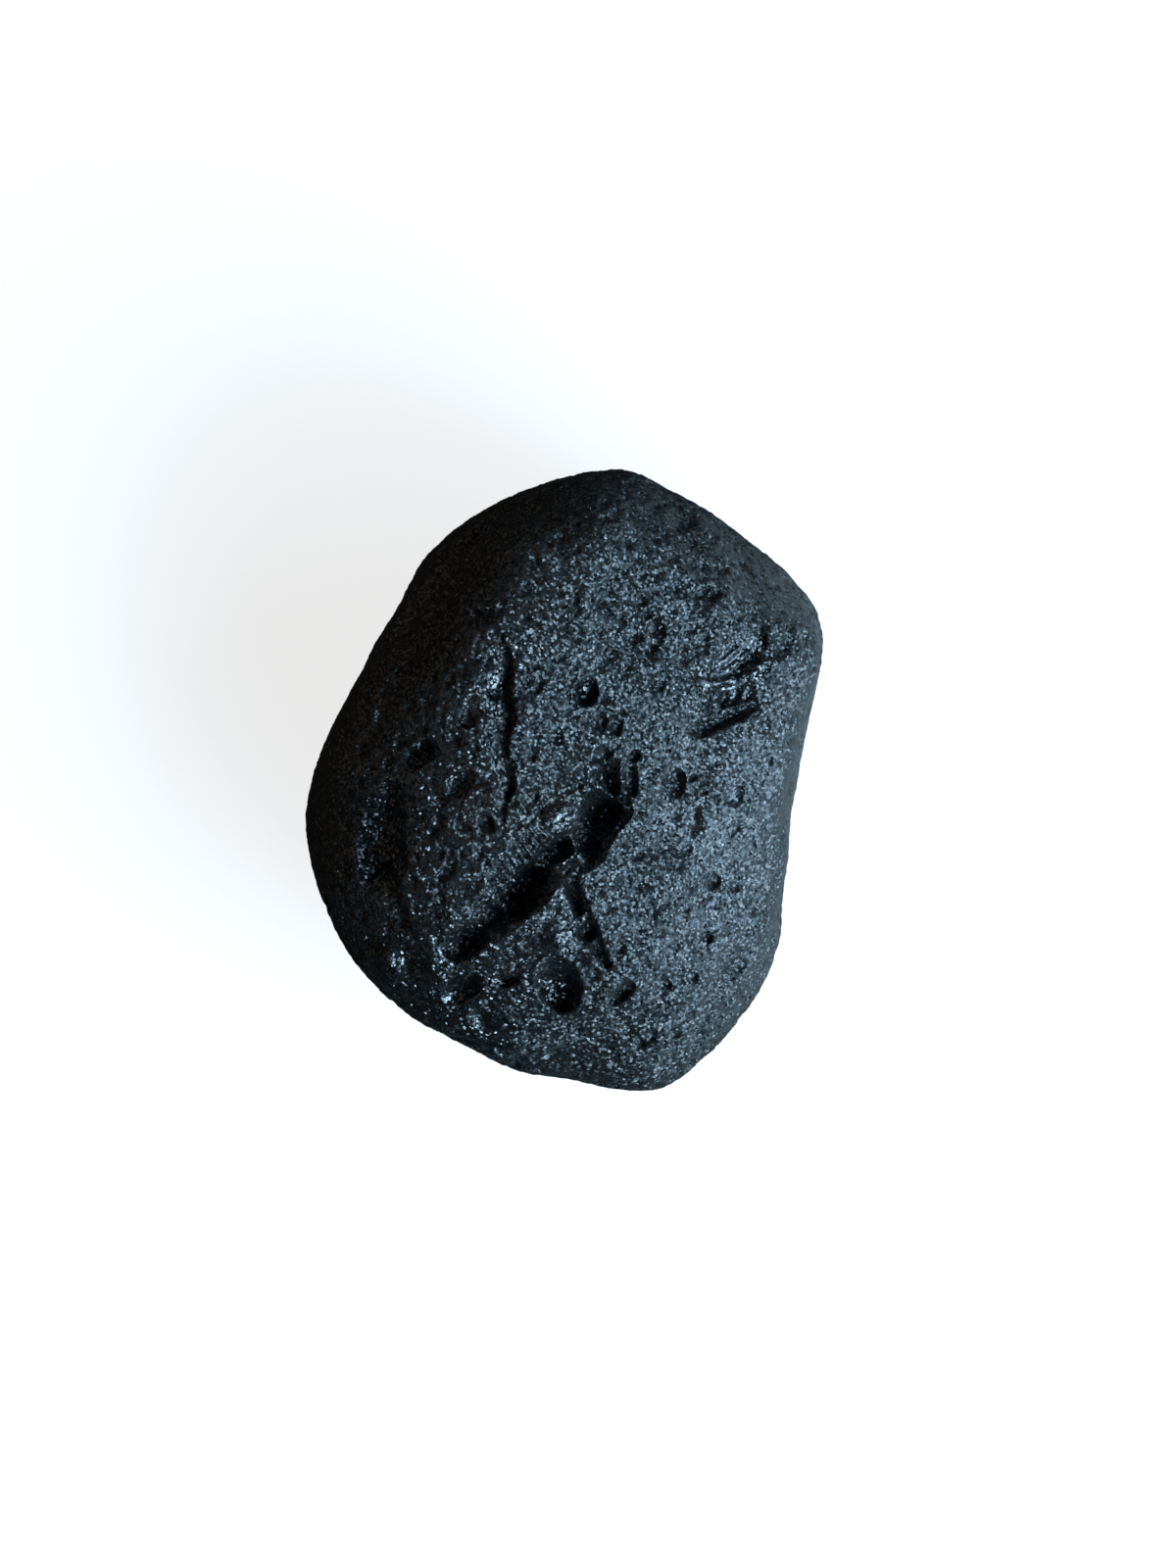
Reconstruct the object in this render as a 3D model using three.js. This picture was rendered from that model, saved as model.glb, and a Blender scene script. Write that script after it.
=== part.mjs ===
// A tektite: one natural stone of black glass, lying with its dome up on a small worn flat.
// Millimetres, +Z up, +Y along the stone. The origin is on the table, under the middle of the stone.
import * as THREE from 'three';
import { mergeVertices } from 'three/addons/utils/BufferGeometryUtils.js';

// Driving sizes of the whole stone
const STONE_LENGTH = 45;
const STONE_WIDTH = 37.6;
const WIDEST_LEVEL = 11.4; // height above the table at which the stone is widest
const CROWN_RISE = 13.9; // from the widest level up to the top of the dome
const BELLY_DROP = 11.8; // from the widest level down to where the belly would end without its flat

// How round the dome and the belly are: 2 is an ellipse, more is boxier
const CROWN_FULLNESS = 3.0;
const BELLY_FULLNESS = 2.5;

// How crisply the broad worn faces meet the dome: more is a sharper edge
const FACE_CRISPNESS = 10;

// The skin is a ball of triangles: each edge of a twenty-sided ball is cut in this many parts,
// and the points are crowded towards the upper face, where the finest relief is
const SKIN_DIVISIONS = 22;
const UPPER_CROWDING = 0.3;

// The stone's outline seen from above, as places round its middle, anticlockwise from the right edge
const OUTLINE = [
  [16.4, 0.0], [17.1, 3.2], [18.0, 6.8], [18.9, 9.8], [18.6, 12.0], [16.9, 13.8], [13.9, 16.3],
  [10.6, 19.0], [7.3, 20.9], [5.0, 22.7], [2.0, 22.9], [-1.3, 22.9], [-5.3, 22.8], [-8.5, 19.5],
  [-10.5, 16.0], [-12.0, 11.8], [-13.8, 8.6], [-15.0, 5.5], [-16.7, 3.0], [-18.4, -0.6],
  [-19.4, -3.6], [-19.2, -7.0], [-17.6, -10.5], [-14.9, -13.6], [-11.1, -16.3], [-7.0, -18.3],
  [-3.5, -20.1], [0.4, -20.9], [4.4, -22.2], [7.7, -22.8], [10.5, -20.7], [12.6, -18.1],
  [14.8, -14.7], [15.7, -11.5], [15.6, -8.4], [15.7, -3.9],
];

// Broad faces worn or broken on the ball. Each looks along its azimuth and elevation, in degrees,
// and lies at its distance from the middle of the stone
const FACES = [
  { name: 'right slope', azimuth: -8, elevation: 68, distance: 12.2 },
  { name: 'upper left wall', azimuth: 124, elevation: 20, distance: 17.6 },
  { name: 'upper right bevel', azimuth: 47, elevation: 30, distance: 19.2 },
  { name: 'lower right bevel', azimuth: -38, elevation: 34, distance: 18.6 },
  { name: 'left slope', azimuth: 190, elevation: 46, distance: 15.7 },
  { name: 'lower slope', azimuth: 258, elevation: 52, distance: 16.4 },
  { name: 'left undercut', azimuth: 205, elevation: -38, distance: 16.0 },
  { name: 'right undercut', azimuth: -12, elevation: -44, distance: 14.4 },
  { name: 'upper undercut', azimuth: 92, elevation: -36, distance: 17.6 },
  { name: 'lower undercut', azimuth: 286, elevation: -48, distance: 15.4 },
];

// Slow swells left in the glass as it set: height, length from crest to crest, heading and start
const SWELLS = [
  { height: 0.22, length: 15, azimuth: 20, elevation: 15, start: 0.4 },
  { height: 0.18, length: 11, azimuth: 75, elevation: -25, start: 2.1 },
  { height: 0.14, length: 8.2, azimuth: 140, elevation: 35, start: 4.0 },
  { height: 0.11, length: 6.1, azimuth: 250, elevation: 10, start: 1.3 },
  { height: 0.08, length: 4.3, azimuth: 330, elevation: -40, start: 5.2 },
];

// The upper face's relief is placed as the finished stone is seen from straight above: the stretch and
// shift from the plain body to the finished size, and the height over the widest level that it is seen from
const SEEN_STRETCH = [1.031, 1.078];
const SEEN_SHIFT = [0.09, 0.3];
const SEEN_FROM = 475;

// How far the edge of a pit or furrow wanders from a true curve, and over what length
const WANDER = 0.2;
const WANDER_LENGTH = 4.4;

// How a hollow's wall meets the skin, and how its bed turns from one wall to the other
const SHARP_RIM = 0.65;
const PLAIN_RIM = 1.0;
const SOFT_RIM = 1.8;
const ROUND_BED = 2.0;
const CUT_BED = 1.0;

// Banks of a furrow. Each reaches its share of the half width
const EVEN_BANK = { reach: 1, bed: ROUND_BED, rim: PLAIN_RIM };
const SOFT_BANK = { reach: 1, bed: ROUND_BED, rim: SOFT_RIM };
const STEEP_BANK = { reach: 0.6, bed: ROUND_BED, rim: PLAIN_RIM };
const SLOPING_BANK = { reach: 2.8, bed: CUT_BED, rim: 1.5 };
const WEDGE_BANK = { reach: 2.8, bed: CUT_BED, rim: PLAIN_RIM };

// Above this share of the way up the ball, the relief of the upper face has its whole depth
const UPPER_FACE_START = 0.3;

// Cups and hollows in the upper face, seen from above: place, size across, depth and rim. A long one
// also has its length and the direction it runs in, in degrees
const HOLLOWS = [
  // The chain of cups that runs down the gutter
  { at: [2.7, 1.6], across: 1.4, long: 2.0, turn: -50, depth: 0.9, rim: PLAIN_RIM },
  { at: [3.4, 0.2], across: 1.8, long: 3.0, turn: 85, depth: 1.5, rim: PLAIN_RIM },
  { at: [2.6, -2.4], across: 3.2, long: 3.8, turn: 60, depth: 2.0, rim: PLAIN_RIM },
  { at: [1.6, -4.4], across: 2.4, long: 2.6, turn: 40, depth: 1.3, rim: PLAIN_RIM },
  { at: [-0.9, -5.0], across: 2.4, long: 3.4, turn: 30, depth: 1.9, rim: PLAIN_RIM },
  { at: [-2.1, -6.8], across: 2.4, long: 2.8, turn: 45, depth: 1.6, rim: PLAIN_RIM },
  { at: [-3.4, -8.3], across: 3.2, long: 4.0, turn: 45, depth: 1.9, rim: PLAIN_RIM },
  { at: [-5.0, -10.0], across: 2.5, long: 2.8, turn: 45, depth: 1.4, rim: PLAIN_RIM },
  { at: [-7.1, -11.5], across: 2.9, long: 4.0, turn: 40, depth: 1.4, rim: PLAIN_RIM },
  // The cups of its branch
  { at: [0.8, -8.4], across: 1.0, long: 2.9, turn: 88, depth: 1.0, rim: PLAIN_RIM },
  { at: [1.7, -11.0], across: 1.2, long: 2.0, turn: -50, depth: 1.0, rim: PLAIN_RIM },
  { at: [2.8, -12.5], across: 1.0, long: 2.0, turn: -60, depth: 0.8, rim: PLAIN_RIM },
  // The dent in the upper right
  { at: [12.7, 9.0], across: 3.4, long: 6.0, turn: 50, depth: 0.8, rim: SOFT_RIM },
  { at: [11.9, 5.8], across: 3.6, long: 5.6, turn: 28, depth: 1.1, rim: SOFT_RIM },
  { at: [11.6, 4.5], across: 1.6, long: 5.6, turn: 22, depth: 1.1, rim: PLAIN_RIM },
  // Pits of the right slope and the top
  { at: [4.9, 0.2], across: 1.3, long: 2.9, turn: 96, depth: 1.0, rim: PLAIN_RIM },
  { at: [8.2, -0.1], across: 1.9, long: 2.2, turn: 80, depth: 0.8, rim: PLAIN_RIM },
  { at: [12.5, -0.9], across: 1.5, long: 1.9, turn: 80, depth: 0.5, rim: PLAIN_RIM },
  { at: [9.3, -3.0], across: 1.5, long: 2.8, turn: 100, depth: 0.4, rim: SOFT_RIM },
  { at: [10.9, -7.2], across: 1.4, depth: 0.6, rim: PLAIN_RIM },
  { at: [8.7, 19.0], across: 1.7, long: 2.4, turn: -25, depth: 0.9, rim: PLAIN_RIM },
  { at: [6.7, 10.8], across: 1.5, long: 1.6, depth: 0.7, rim: PLAIN_RIM },
  { at: [3.4, 12.6], across: 1.6, long: 1.9, turn: 30, depth: 0.4, rim: PLAIN_RIM },
  { at: [5.1, 10.3], across: 1.4, long: 1.6, turn: 60, depth: 0.4, rim: PLAIN_RIM },
  { at: [10.4, 13.4], across: 1.7, long: 2.0, turn: 40, depth: 0.4, rim: PLAIN_RIM },
  { at: [-0.1, 17.3], across: 1.6, depth: 0.3, rim: SOFT_RIM },
  { at: [-5.7, 11.7], across: 1.5, long: 2.8, turn: 15, depth: 0.5, rim: PLAIN_RIM },
  // Pits of the left slope
  { at: [-6.9, 4.9], across: 1.8, long: 2.0, turn: 60, depth: 0.5, rim: PLAIN_RIM },
  { at: [-10.5, 2.1], across: 2.0, long: 2.3, turn: 60, depth: 0.9, rim: PLAIN_RIM },
  { at: [-7.5, -0.1], across: 2.0, long: 2.2, turn: 80, depth: 0.8, rim: PLAIN_RIM },
  { at: [-5.7, -3.0], across: 1.6, long: 1.7, depth: 0.6, rim: PLAIN_RIM },
  // Hollows of the lower end
  { at: [4.1, -15.3], across: 1.5, long: 2.3, turn: 60, depth: 0.9, rim: PLAIN_RIM },
  { at: [-4.2, -14.8], across: 0.9, long: 2.4, turn: 5, depth: 0.8, rim: PLAIN_RIM },
  { at: [-11.1, -13.1], across: 2.6, long: 3.6, turn: -45, depth: 0.8, rim: SOFT_RIM },
  { at: [-7.5, -15.2], across: 2.4, long: 2.8, turn: 10, depth: 1.0, rim: PLAIN_RIM },
  { at: [-5.8, -17.4], across: 1.6, long: 2.2, turn: -20, depth: 0.6, rim: SOFT_RIM },
  { at: [-5.4, -19.1], across: 1.3, long: 1.5, depth: 0.5, rim: PLAIN_RIM },
  { at: [6.7, -14.8], across: 1.6, long: 1.8, turn: 40, depth: 0.5, rim: PLAIN_RIM },
  { at: [12.8, -13.1], across: 1.3, long: 1.6, turn: 60, depth: 0.5, rim: PLAIN_RIM },
];

// Burst bubbles, whose edges stay round
const BUBBLES = [
  { at: [1.6, 6.4], across: 1.9, long: 2.2, turn: 80, depth: 1.0, rim: SHARP_RIM },
  { at: [-0.4, -15.0], across: 3.4, long: 4.3, turn: 100, depth: 1.6, rim: SHARP_RIM },
];

// Knobs standing in or beside the hollows: place, size across and height
const KNOBS = [
  { at: [-0.1, -2.8], across: 2.8, height: 0.6 },
  { at: [1.5, -0.9], across: 1.3, height: 0.4 },
  { at: [2.3, 0.9], across: 1.1, height: 0.35 },
  { at: [-0.6, -8.4], across: 2.4, height: 0.6 },
  { at: [-0.3, -11.3], across: 2.3, height: 0.5 },
  { at: [2.2, -13.3], across: 1.6, height: 0.4 },
  { at: [-1.6, -4.4], across: 1.3, height: 0.3 },
  { at: [-13.4, -2.4], across: 1.2, height: 0.45 },
  { at: [-14.2, -4.0], across: 1.3, height: 0.45 },
  { at: [-13.9, -5.4], across: 1.0, height: 0.4 },
  { at: [-13.0, -13.1], across: 1.2, height: 0.3 },
  { at: [-12.4, -14.3], across: 1.0, height: 0.3 },
];

// Furrows and cracks in the upper face: each point has its place, the width there and the depth there.
// The banks are left and right as seen along the furrow
const FURROWS = [
  {
    name: 'gutter',
    points: [
      [2.5, 1.5, 1.5, 0.3], [3.7, -0.4, 2.6, 0.8], [3.2, -2.3, 4.2, 1.2], [1.3, -4.2, 4.8, 1.3],
      [-1.0, -6.1, 4.4, 1.2], [-3.2, -8.2, 4.4, 1.1], [-5.3, -10.2, 3.6, 0.9], [-7.6, -12.4, 3.2, 0.6],
    ],
    left: { reach: 0.85, bed: ROUND_BED, rim: PLAIN_RIM },
    right: { reach: 1.3, bed: ROUND_BED, rim: SOFT_RIM },
  },
  {
    name: 'branch of the gutter',
    points: [
      [0.3, -6.4, 0.8, 0.3], [0.9, -8.2, 1.5, 0.9], [1.1, -9.9, 1.5, 0.9], [2.0, -11.6, 1.5, 0.8],
      [2.9, -13.4, 0.9, 0.2],
    ],
    left: EVEN_BANK,
    right: SOFT_BANK,
  },
  {
    name: 'fold beside the crown',
    points: [
      [-4.5, 10.8, 0.6, 0.2], [-4.2, 8.6, 1.1, 0.7], [-4.0, 6.6, 1.5, 1.3], [-4.0, 4.8, 1.3, 1.1],
      [-4.2, 3.4, 1.0, 0.8], [-4.1, 1.4, 1.0, 0.7], [-3.9, -0.4, 1.0, 0.7], [-4.2, -2.8, 0.6, 0.3],
    ],
    left: STEEP_BANK,
    right: WEDGE_BANK,
  },
  {
    name: 'crack of the dent',
    points: [[14.2, 11.5, 0.4, 0.15], [14.2, 10.6, 0.7, 0.6], [14.3, 9.7, 0.7, 0.5], [14.2, 8.9, 0.5, 0.15]],
    left: STEEP_BANK,
    right: STEEP_BANK,
  },
  {
    name: 'spur of the dent',
    points: [[14.0, 8.8, 1.0, 0.3], [15.1, 9.2, 1.5, 0.5], [16.2, 9.9, 1.3, 0.4], [17.0, 10.1, 0.8, 0.2]],
    left: SOFT_BANK,
    right: EVEN_BANK,
  },
  {
    name: 'left hollow',
    points: [
      [-12.6, -0.8, 1.6, 0.4], [-12.8, -2.8, 3.0, 1.0], [-13.2, -4.6, 3.6, 1.3], [-13.0, -6.6, 3.2, 1.5],
      [-12.3, -8.8, 2.0, 0.6], [-11.8, -10.4, 1.2, 0.2],
    ],
    left: EVEN_BANK,
    right: EVEN_BANK,
  },
  {
    name: 'ledge above the upper left wall',
    points: [
      [-14.4, 2.4, 0.8, 0.15], [-12.4, 6.6, 1.4, 0.5], [-10.6, 10.4, 1.5, 0.55], [-8.9, 14.2, 1.5, 0.5],
      [-6.6, 17.2, 1.3, 0.4], [-3.4, 19.6, 0.8, 0.15],
    ],
    left: EVEN_BANK,
    right: SLOPING_BANK,
  },
];

// Long hollows along the flanks: each point looks along an azimuth and elevation, with width and depth
const FLANK_FURROWS = [
  {
    name: 'ledge of the upper left wall',
    points: [
      [104, 12, 2.0, 0.3], [114, 16, 3.2, 0.8], [124, 17, 3.6, 1.0], [134, 17, 3.4, 0.9], [143, 16, 2.4, 0.5],
    ],
  },
  {
    name: 'left flute',
    points: [[176, -8, 2.0, 0.3], [190, -15, 3.6, 0.9], [203, -24, 3.6, 0.8], [218, -34, 2.4, 0.3]],
  },
  {
    name: 'right flute',
    points: [[-22, -20, 2.0, 0.3], [-10, -25, 3.2, 0.7], [2, -31, 3.4, 0.8], [12, -40, 2.4, 0.4]],
  },
  {
    name: 'near flute',
    points: [[262, -9, 1.8, 0.3], [272, -18, 3.2, 0.8], [280, -30, 3.6, 0.8], [282, -44, 2.6, 0.4]],
  },
  {
    name: 'far flute',
    points: [[70, -6, 1.8, 0.3], [80, -18, 3.2, 0.8], [94, -28, 3.4, 0.8], [108, -36, 2.4, 0.3]],
  },
];

// Pits all round the flanks and the belly, laid out along a spiral that runs from the top one down
const FLANK_PITS = {
  count: 74,
  highest: -0.13,
  lowest: -0.86,
  smallest: 1.5,
  largest: 4.2,
  depthShare: 0.24,
  straying: 0.16,
  seed: 41,
};

const GOLDEN_TURN = Math.PI * (3 - Math.sqrt(5));
const SMALL_TURN = 0.002; // radians between neighbouring looks when a slope is measured

const skinMaterial = new THREE.MeshStandardMaterial({ color: 0x0e1013, roughness: 0.34, metalness: 0 });

// A direction from its azimuth and elevation in degrees
function lookAlong(azimuth, elevation) {
  const turn = THREE.MathUtils.degToRad(azimuth);
  const rise = THREE.MathUtils.degToRad(elevation);
  return new THREE.Vector3(Math.cos(turn) * Math.cos(rise), Math.sin(turn) * Math.cos(rise), Math.sin(rise));
}

// Random shares from 0 to 1, the same on every run
function randomShares(seed) {
  let state = seed;
  return () => {
    state = (Math.imul(state, 1664525) + 1013904223) >>> 0;
    return state / 4294967296;
  };
}

// The outline as knots of angle and reach, with the slope of the reach at each knot
function outlineKnots() {
  const knots = OUTLINE.map(([x, y]) => ({ angle: Math.atan2(y, x), reach: Math.hypot(x, y) }));
  knots.sort((a, b) => a.angle - b.angle);
  knots.forEach((knot, index) => {
    const before = knots[(index + knots.length - 1) % knots.length];
    const after = knots[(index + 1) % knots.length];
    const span = THREE.MathUtils.euclideanModulo(after.angle - before.angle, 2 * Math.PI);
    knot.slope = (after.reach - before.reach) / span;
  });
  return knots;
}

const knots = outlineKnots();

// How far the stone reaches from its middle at an angle seen from above: a smooth curve through the knots
function outlineReach(angle) {
  let next = knots.findIndex((knot) => knot.angle > angle);
  if (next < 0) next = 0;
  const start = knots[(next + knots.length - 1) % knots.length];
  const end = knots[next];
  const span = THREE.MathUtils.euclideanModulo(end.angle - start.angle, 2 * Math.PI);
  const share = THREE.MathUtils.euclideanModulo(angle - start.angle, 2 * Math.PI) / span;
  const square = share * share;
  const cube = square * share;
  return (2 * cube - 3 * square + 1) * start.reach
    + (cube - 2 * square + share) * span * start.slope
    + (3 * square - 2 * cube) * end.reach
    + (cube - square) * span * end.slope;
}

const faces = FACES.map(({ azimuth, elevation, distance }) => (
  { look: lookAlong(azimuth, elevation), distance }
));

// The plain body: the dome and belly over the outline, cut by the broad faces with rounded edges
function bodyPoint(look) {
  const level = Math.hypot(look.x, look.y);
  const reach = outlineReach(Math.atan2(look.y, look.x));
  const rise = look.z > 0 ? CROWN_RISE : BELLY_DROP;
  const fullness = look.z > 0 ? CROWN_FULLNESS : BELLY_FULLNESS;
  const ball = (level / reach) ** fullness + (Math.abs(look.z) / rise) ** fullness;
  let closeness = ball ** (FACE_CRISPNESS / fullness);
  for (const face of faces) {
    const facing = Math.max(0, face.look.dot(look)) / face.distance;
    closeness += facing ** FACE_CRISPNESS;
  }
  return look.clone().multiplyScalar(closeness ** (-1 / FACE_CRISPNESS));
}

// The direction in which the plain body faces, from three neighbouring points of it
function bodyNormal(look) {
  const aside = new THREE.Vector3(-look.y, look.x, 0);
  if (aside.lengthSq() < 1e-12) aside.set(1, 0, 0);
  aside.normalize();
  const upward = new THREE.Vector3().crossVectors(look, aside);
  const middle = bodyPoint(look);
  const besideLook = look.clone().addScaledVector(aside, SMALL_TURN).normalize();
  const aboveLook = look.clone().addScaledVector(upward, SMALL_TURN).normalize();
  const beside = bodyPoint(besideLook).sub(middle);
  const above = bodyPoint(aboveLook).sub(middle);
  return beside.cross(above).normalize();
}

const swells = SWELLS.map(({ height, length, azimuth, elevation, start }) => (
  { height, wave: lookAlong(azimuth, elevation).multiplyScalar((2 * Math.PI) / length), start }
));

// Height of the slow swells at a point of the body
function swellHeight(point) {
  return swells.reduce((sum, { height, wave, start }) => sum + height * Math.sin(wave.dot(point) + start), 0);
}

// A point of the body moved to where it is seen from straight above in the finished stone
function seenFromAbove(point) {
  const nearer = SEEN_FROM / (SEEN_FROM - point.z);
  return new THREE.Vector3(
    (point.x * SEEN_STRETCH[0] + SEEN_SHIFT[0]) * nearer,
    (point.y * SEEN_STRETCH[1] + SEEN_SHIFT[1]) * nearer,
    point.z,
  );
}

// A point moved a little aside, so that the edges of hollows wander
function wandered(point) {
  const pace = (2 * Math.PI) / WANDER_LENGTH;
  return new THREE.Vector3(
    point.x + WANDER * Math.sin(pace * (point.y + 0.3 * point.x) + 1.1 + 0.4 * point.z),
    point.y + WANDER * Math.sin(pace * (1.1 * point.x - 0.4 * point.y) + 2.7 + 0.4 * point.z),
    point.z,
  );
}

// Depth of a hollow where its edge is at 1 and its middle at 0
function hollowShare(nearness, rim, bed = ROUND_BED) {
  return nearness < 1 ? (1 - nearness ** bed) ** rim : 0;
}

// Depth of one furrow at a point. Its points are in space, and its banks are told apart from above
function furrowDepth(point, furrow) {
  let deepest = 0;
  for (let index = 0; index + 1 < furrow.points.length; index += 1) {
    const start = furrow.points[index];
    const end = furrow.points[index + 1];
    const run = end.place.clone().sub(start.place);
    const offset = point.clone().sub(start.place);
    const share = THREE.MathUtils.clamp(offset.dot(run) / run.lengthSq(), 0, 1);
    const onLeft = run.x * offset.y - run.y * offset.x > 0;
    const { reach, bed, rim } = onLeft ? furrow.left : furrow.right;
    const halfWidth = 0.5 * reach * THREE.MathUtils.lerp(start.width, end.width, share);
    const depth = THREE.MathUtils.lerp(start.depth, end.depth, share);
    const distance = offset.addScaledVector(run, -share).length();
    deepest = Math.max(deepest, depth * hollowShare(distance / halfWidth, rim, bed));
  }
  return deepest;
}

const topFurrows = FURROWS.map(({ points, left, right }) => ({
  left,
  right,
  points: points.map(([x, y, width, depth]) => ({ place: new THREE.Vector3(x, y, 0), width, depth })),
}));

const flankFurrows = FLANK_FURROWS.map(({ points }) => ({
  left: SOFT_BANK,
  right: SOFT_BANK,
  points: points.map(([azimuth, elevation, width, depth]) => (
    { place: bodyPoint(lookAlong(azimuth, elevation)), width, depth }
  )),
}));

// Depth of one hollow of the upper face at a place seen from above
function topHollowDepth(place, { at, across, long = across, turn = 0, depth, rim }) {
  const angle = THREE.MathUtils.degToRad(turn);
  const [aside, ahead] = [place.x - at[0], place.y - at[1]];
  const along = (aside * Math.cos(angle) + ahead * Math.sin(angle)) / (0.5 * long);
  const athwart = (ahead * Math.cos(angle) - aside * Math.sin(angle)) / (0.5 * across);
  return depth * hollowShare(Math.hypot(along, athwart), rim);
}

// Depth of the deepest of some hollows, so that a ridge stays between two of them
function deepestHollow(place, hollows) {
  return Math.max(...hollows.map((hollow) => topHollowDepth(place, hollow)));
}

// Height of one knob of the upper face at a place seen from above
function knobHeight(place, { at, across, height }) {
  const nearness = Math.hypot(place.x - at[0], place.y - at[1]) / (0.5 * across);
  return height * hollowShare(nearness, PLAIN_RIM);
}

// How far the upper face is sunk at a point placed as it is seen from above
function topRelief(point) {
  const place = wandered(point).setZ(0);
  const furrowed = Math.max(...topFurrows.map((furrow) => furrowDepth(place, furrow)));
  const raised = KNOBS.reduce((sum, knob) => sum + knobHeight(place, knob), 0);
  return furrowed + deepestHollow(place, HOLLOWS) + deepestHollow(point, BUBBLES) - raised;
}

// The pits of the flanks and the belly, each a ball-shaped hollow round a point of the body
function makeFlankPits() {
  const share = randomShares(FLANK_PITS.seed);
  const fall = (FLANK_PITS.highest - FLANK_PITS.lowest) / FLANK_PITS.count;
  return Array.from({ length: FLANK_PITS.count }, (_, index) => {
    const rise = FLANK_PITS.highest - fall * (index + 0.5);
    const turn = index * GOLDEN_TURN + FLANK_PITS.straying * (share() - 0.5) * 2 * Math.PI;
    const level = Math.sqrt(1 - rise * rise);
    const look = new THREE.Vector3(level * Math.cos(turn), level * Math.sin(turn), rise);
    const across = FLANK_PITS.smallest + (FLANK_PITS.largest - FLANK_PITS.smallest) * share() ** 2;
    const rim = share() < 0.4 ? SOFT_RIM : PLAIN_RIM;
    return { place: bodyPoint(look), across, depth: FLANK_PITS.depthShare * across, rim };
  });
}

const flankPits = makeFlankPits();

// How far the flanks and the belly are sunk at a point of the body
function flankRelief(point) {
  const place = wandered(point);
  const furrows = flankFurrows.map((furrow) => furrowDepth(place, furrow));
  const pits = flankPits.map((pit) => (
    pit.depth * hollowShare(place.distanceTo(pit.place) / (0.5 * pit.across), pit.rim)
  ));
  return Math.hypot(Math.max(...furrows), Math.max(...pits));
}

// A point of the finished skin: the body, its swells away from the outline, the flank's hollows pushed
// inwards, the upper face's relief pushed straight down, and the belly worn flat where it rests
function skinPoint(look) {
  const point = bodyPoint(look);
  const normal = bodyNormal(look);
  const upper = THREE.MathUtils.smoothstep(look.z, 0, UPPER_FACE_START);
  const fromOutline = THREE.MathUtils.smoothstep(Math.abs(look.z), 0, UPPER_FACE_START);
  const swell = fromOutline * swellHeight(point);
  const skin = point.clone().addScaledVector(normal, swell - flankRelief(point));
  skin.z -= upper * topRelief(seenFromAbove(point));
  skin.z = Math.max(skin.z, -WIDEST_LEVEL);
  return skin;
}

// A direction moved up the ball without changing its azimuth, which crowds the points at the top
function crowdedUp(direction) {
  const rise = (direction.z + UPPER_CROWDING) / (1 + UPPER_CROWDING * direction.z);
  const level = Math.hypot(direction.x, direction.y);
  const spread = level > 0 ? Math.sqrt(1 - rise * rise) / level : 0;
  return new THREE.Vector3(direction.x * spread, direction.y * spread, rise);
}

// A closed ball of triangles whose neighbours share their corners
function makeBall() {
  const ball = new THREE.IcosahedronGeometry(1, SKIN_DIVISIONS - 1);
  ball.deleteAttribute('normal');
  ball.deleteAttribute('uv');
  return mergeVertices(ball, 1e-3);
}

// Stretch and shift the skin so that its box has the driving sizes and stands on the origin
function fitToSize(geometry) {
  geometry.computeBoundingBox();
  const box = geometry.boundingBox;
  const size = box.getSize(new THREE.Vector3());
  const middle = box.getCenter(new THREE.Vector3());
  geometry.translate(-middle.x, -middle.y, -box.min.z);
  geometry.scale(STONE_WIDTH / size.x, STONE_LENGTH / size.y, 1);
}

function makeStone() {
  const geometry = makeBall();
  const corners = geometry.getAttribute('position');
  const direction = new THREE.Vector3();
  for (let index = 0; index < corners.count; index += 1) {
    direction.fromBufferAttribute(corners, index).normalize();
    const skin = skinPoint(crowdedUp(direction));
    corners.setXYZ(index, skin.x, skin.y, skin.z);
  }
  fitToSize(geometry);
  geometry.computeVertexNormals();
  const stone = new THREE.Mesh(geometry, skinMaterial);
  stone.name = 'tektite';
  return stone;
}

const tektite = new THREE.Group();
tektite.add(makeStone());

export default tektite;
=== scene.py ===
"""The skin of a tektite: black glass, furrowed, pitted and finely etched, lying on white card."""
import math

import bpy
import numpy as np
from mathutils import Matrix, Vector


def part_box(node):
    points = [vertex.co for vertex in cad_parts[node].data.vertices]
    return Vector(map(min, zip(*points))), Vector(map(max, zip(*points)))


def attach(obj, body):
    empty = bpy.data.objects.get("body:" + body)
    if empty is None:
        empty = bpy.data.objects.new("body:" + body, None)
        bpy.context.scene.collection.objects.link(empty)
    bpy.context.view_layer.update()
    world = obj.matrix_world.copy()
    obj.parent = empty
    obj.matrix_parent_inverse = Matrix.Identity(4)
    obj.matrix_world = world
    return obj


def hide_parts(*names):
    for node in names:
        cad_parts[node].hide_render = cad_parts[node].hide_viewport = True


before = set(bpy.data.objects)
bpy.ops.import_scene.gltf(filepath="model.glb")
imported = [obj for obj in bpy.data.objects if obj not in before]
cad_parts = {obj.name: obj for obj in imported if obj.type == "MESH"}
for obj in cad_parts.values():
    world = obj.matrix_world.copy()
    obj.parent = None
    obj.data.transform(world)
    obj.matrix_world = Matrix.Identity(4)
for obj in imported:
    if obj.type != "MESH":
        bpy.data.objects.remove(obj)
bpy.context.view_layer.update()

MM = 0.001  # metres in a millimetre

# The whole stone, in millimetres, as in its solid
WIDEST_LEVEL = 11.4
CROWN_RISE = 13.9
BELLY_DROP = 11.8
CROWN_FULLNESS = 3.0
BELLY_FULLNESS = 2.5
FACE_CRISPNESS = 10
UPPER_FACE_START = 0.3

# The skin: parts along each edge of a twenty-sided ball, and how far its points crowd to the top
SKIN_DIVISIONS = 98
UPPER_CROWDING = 0.3

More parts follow.
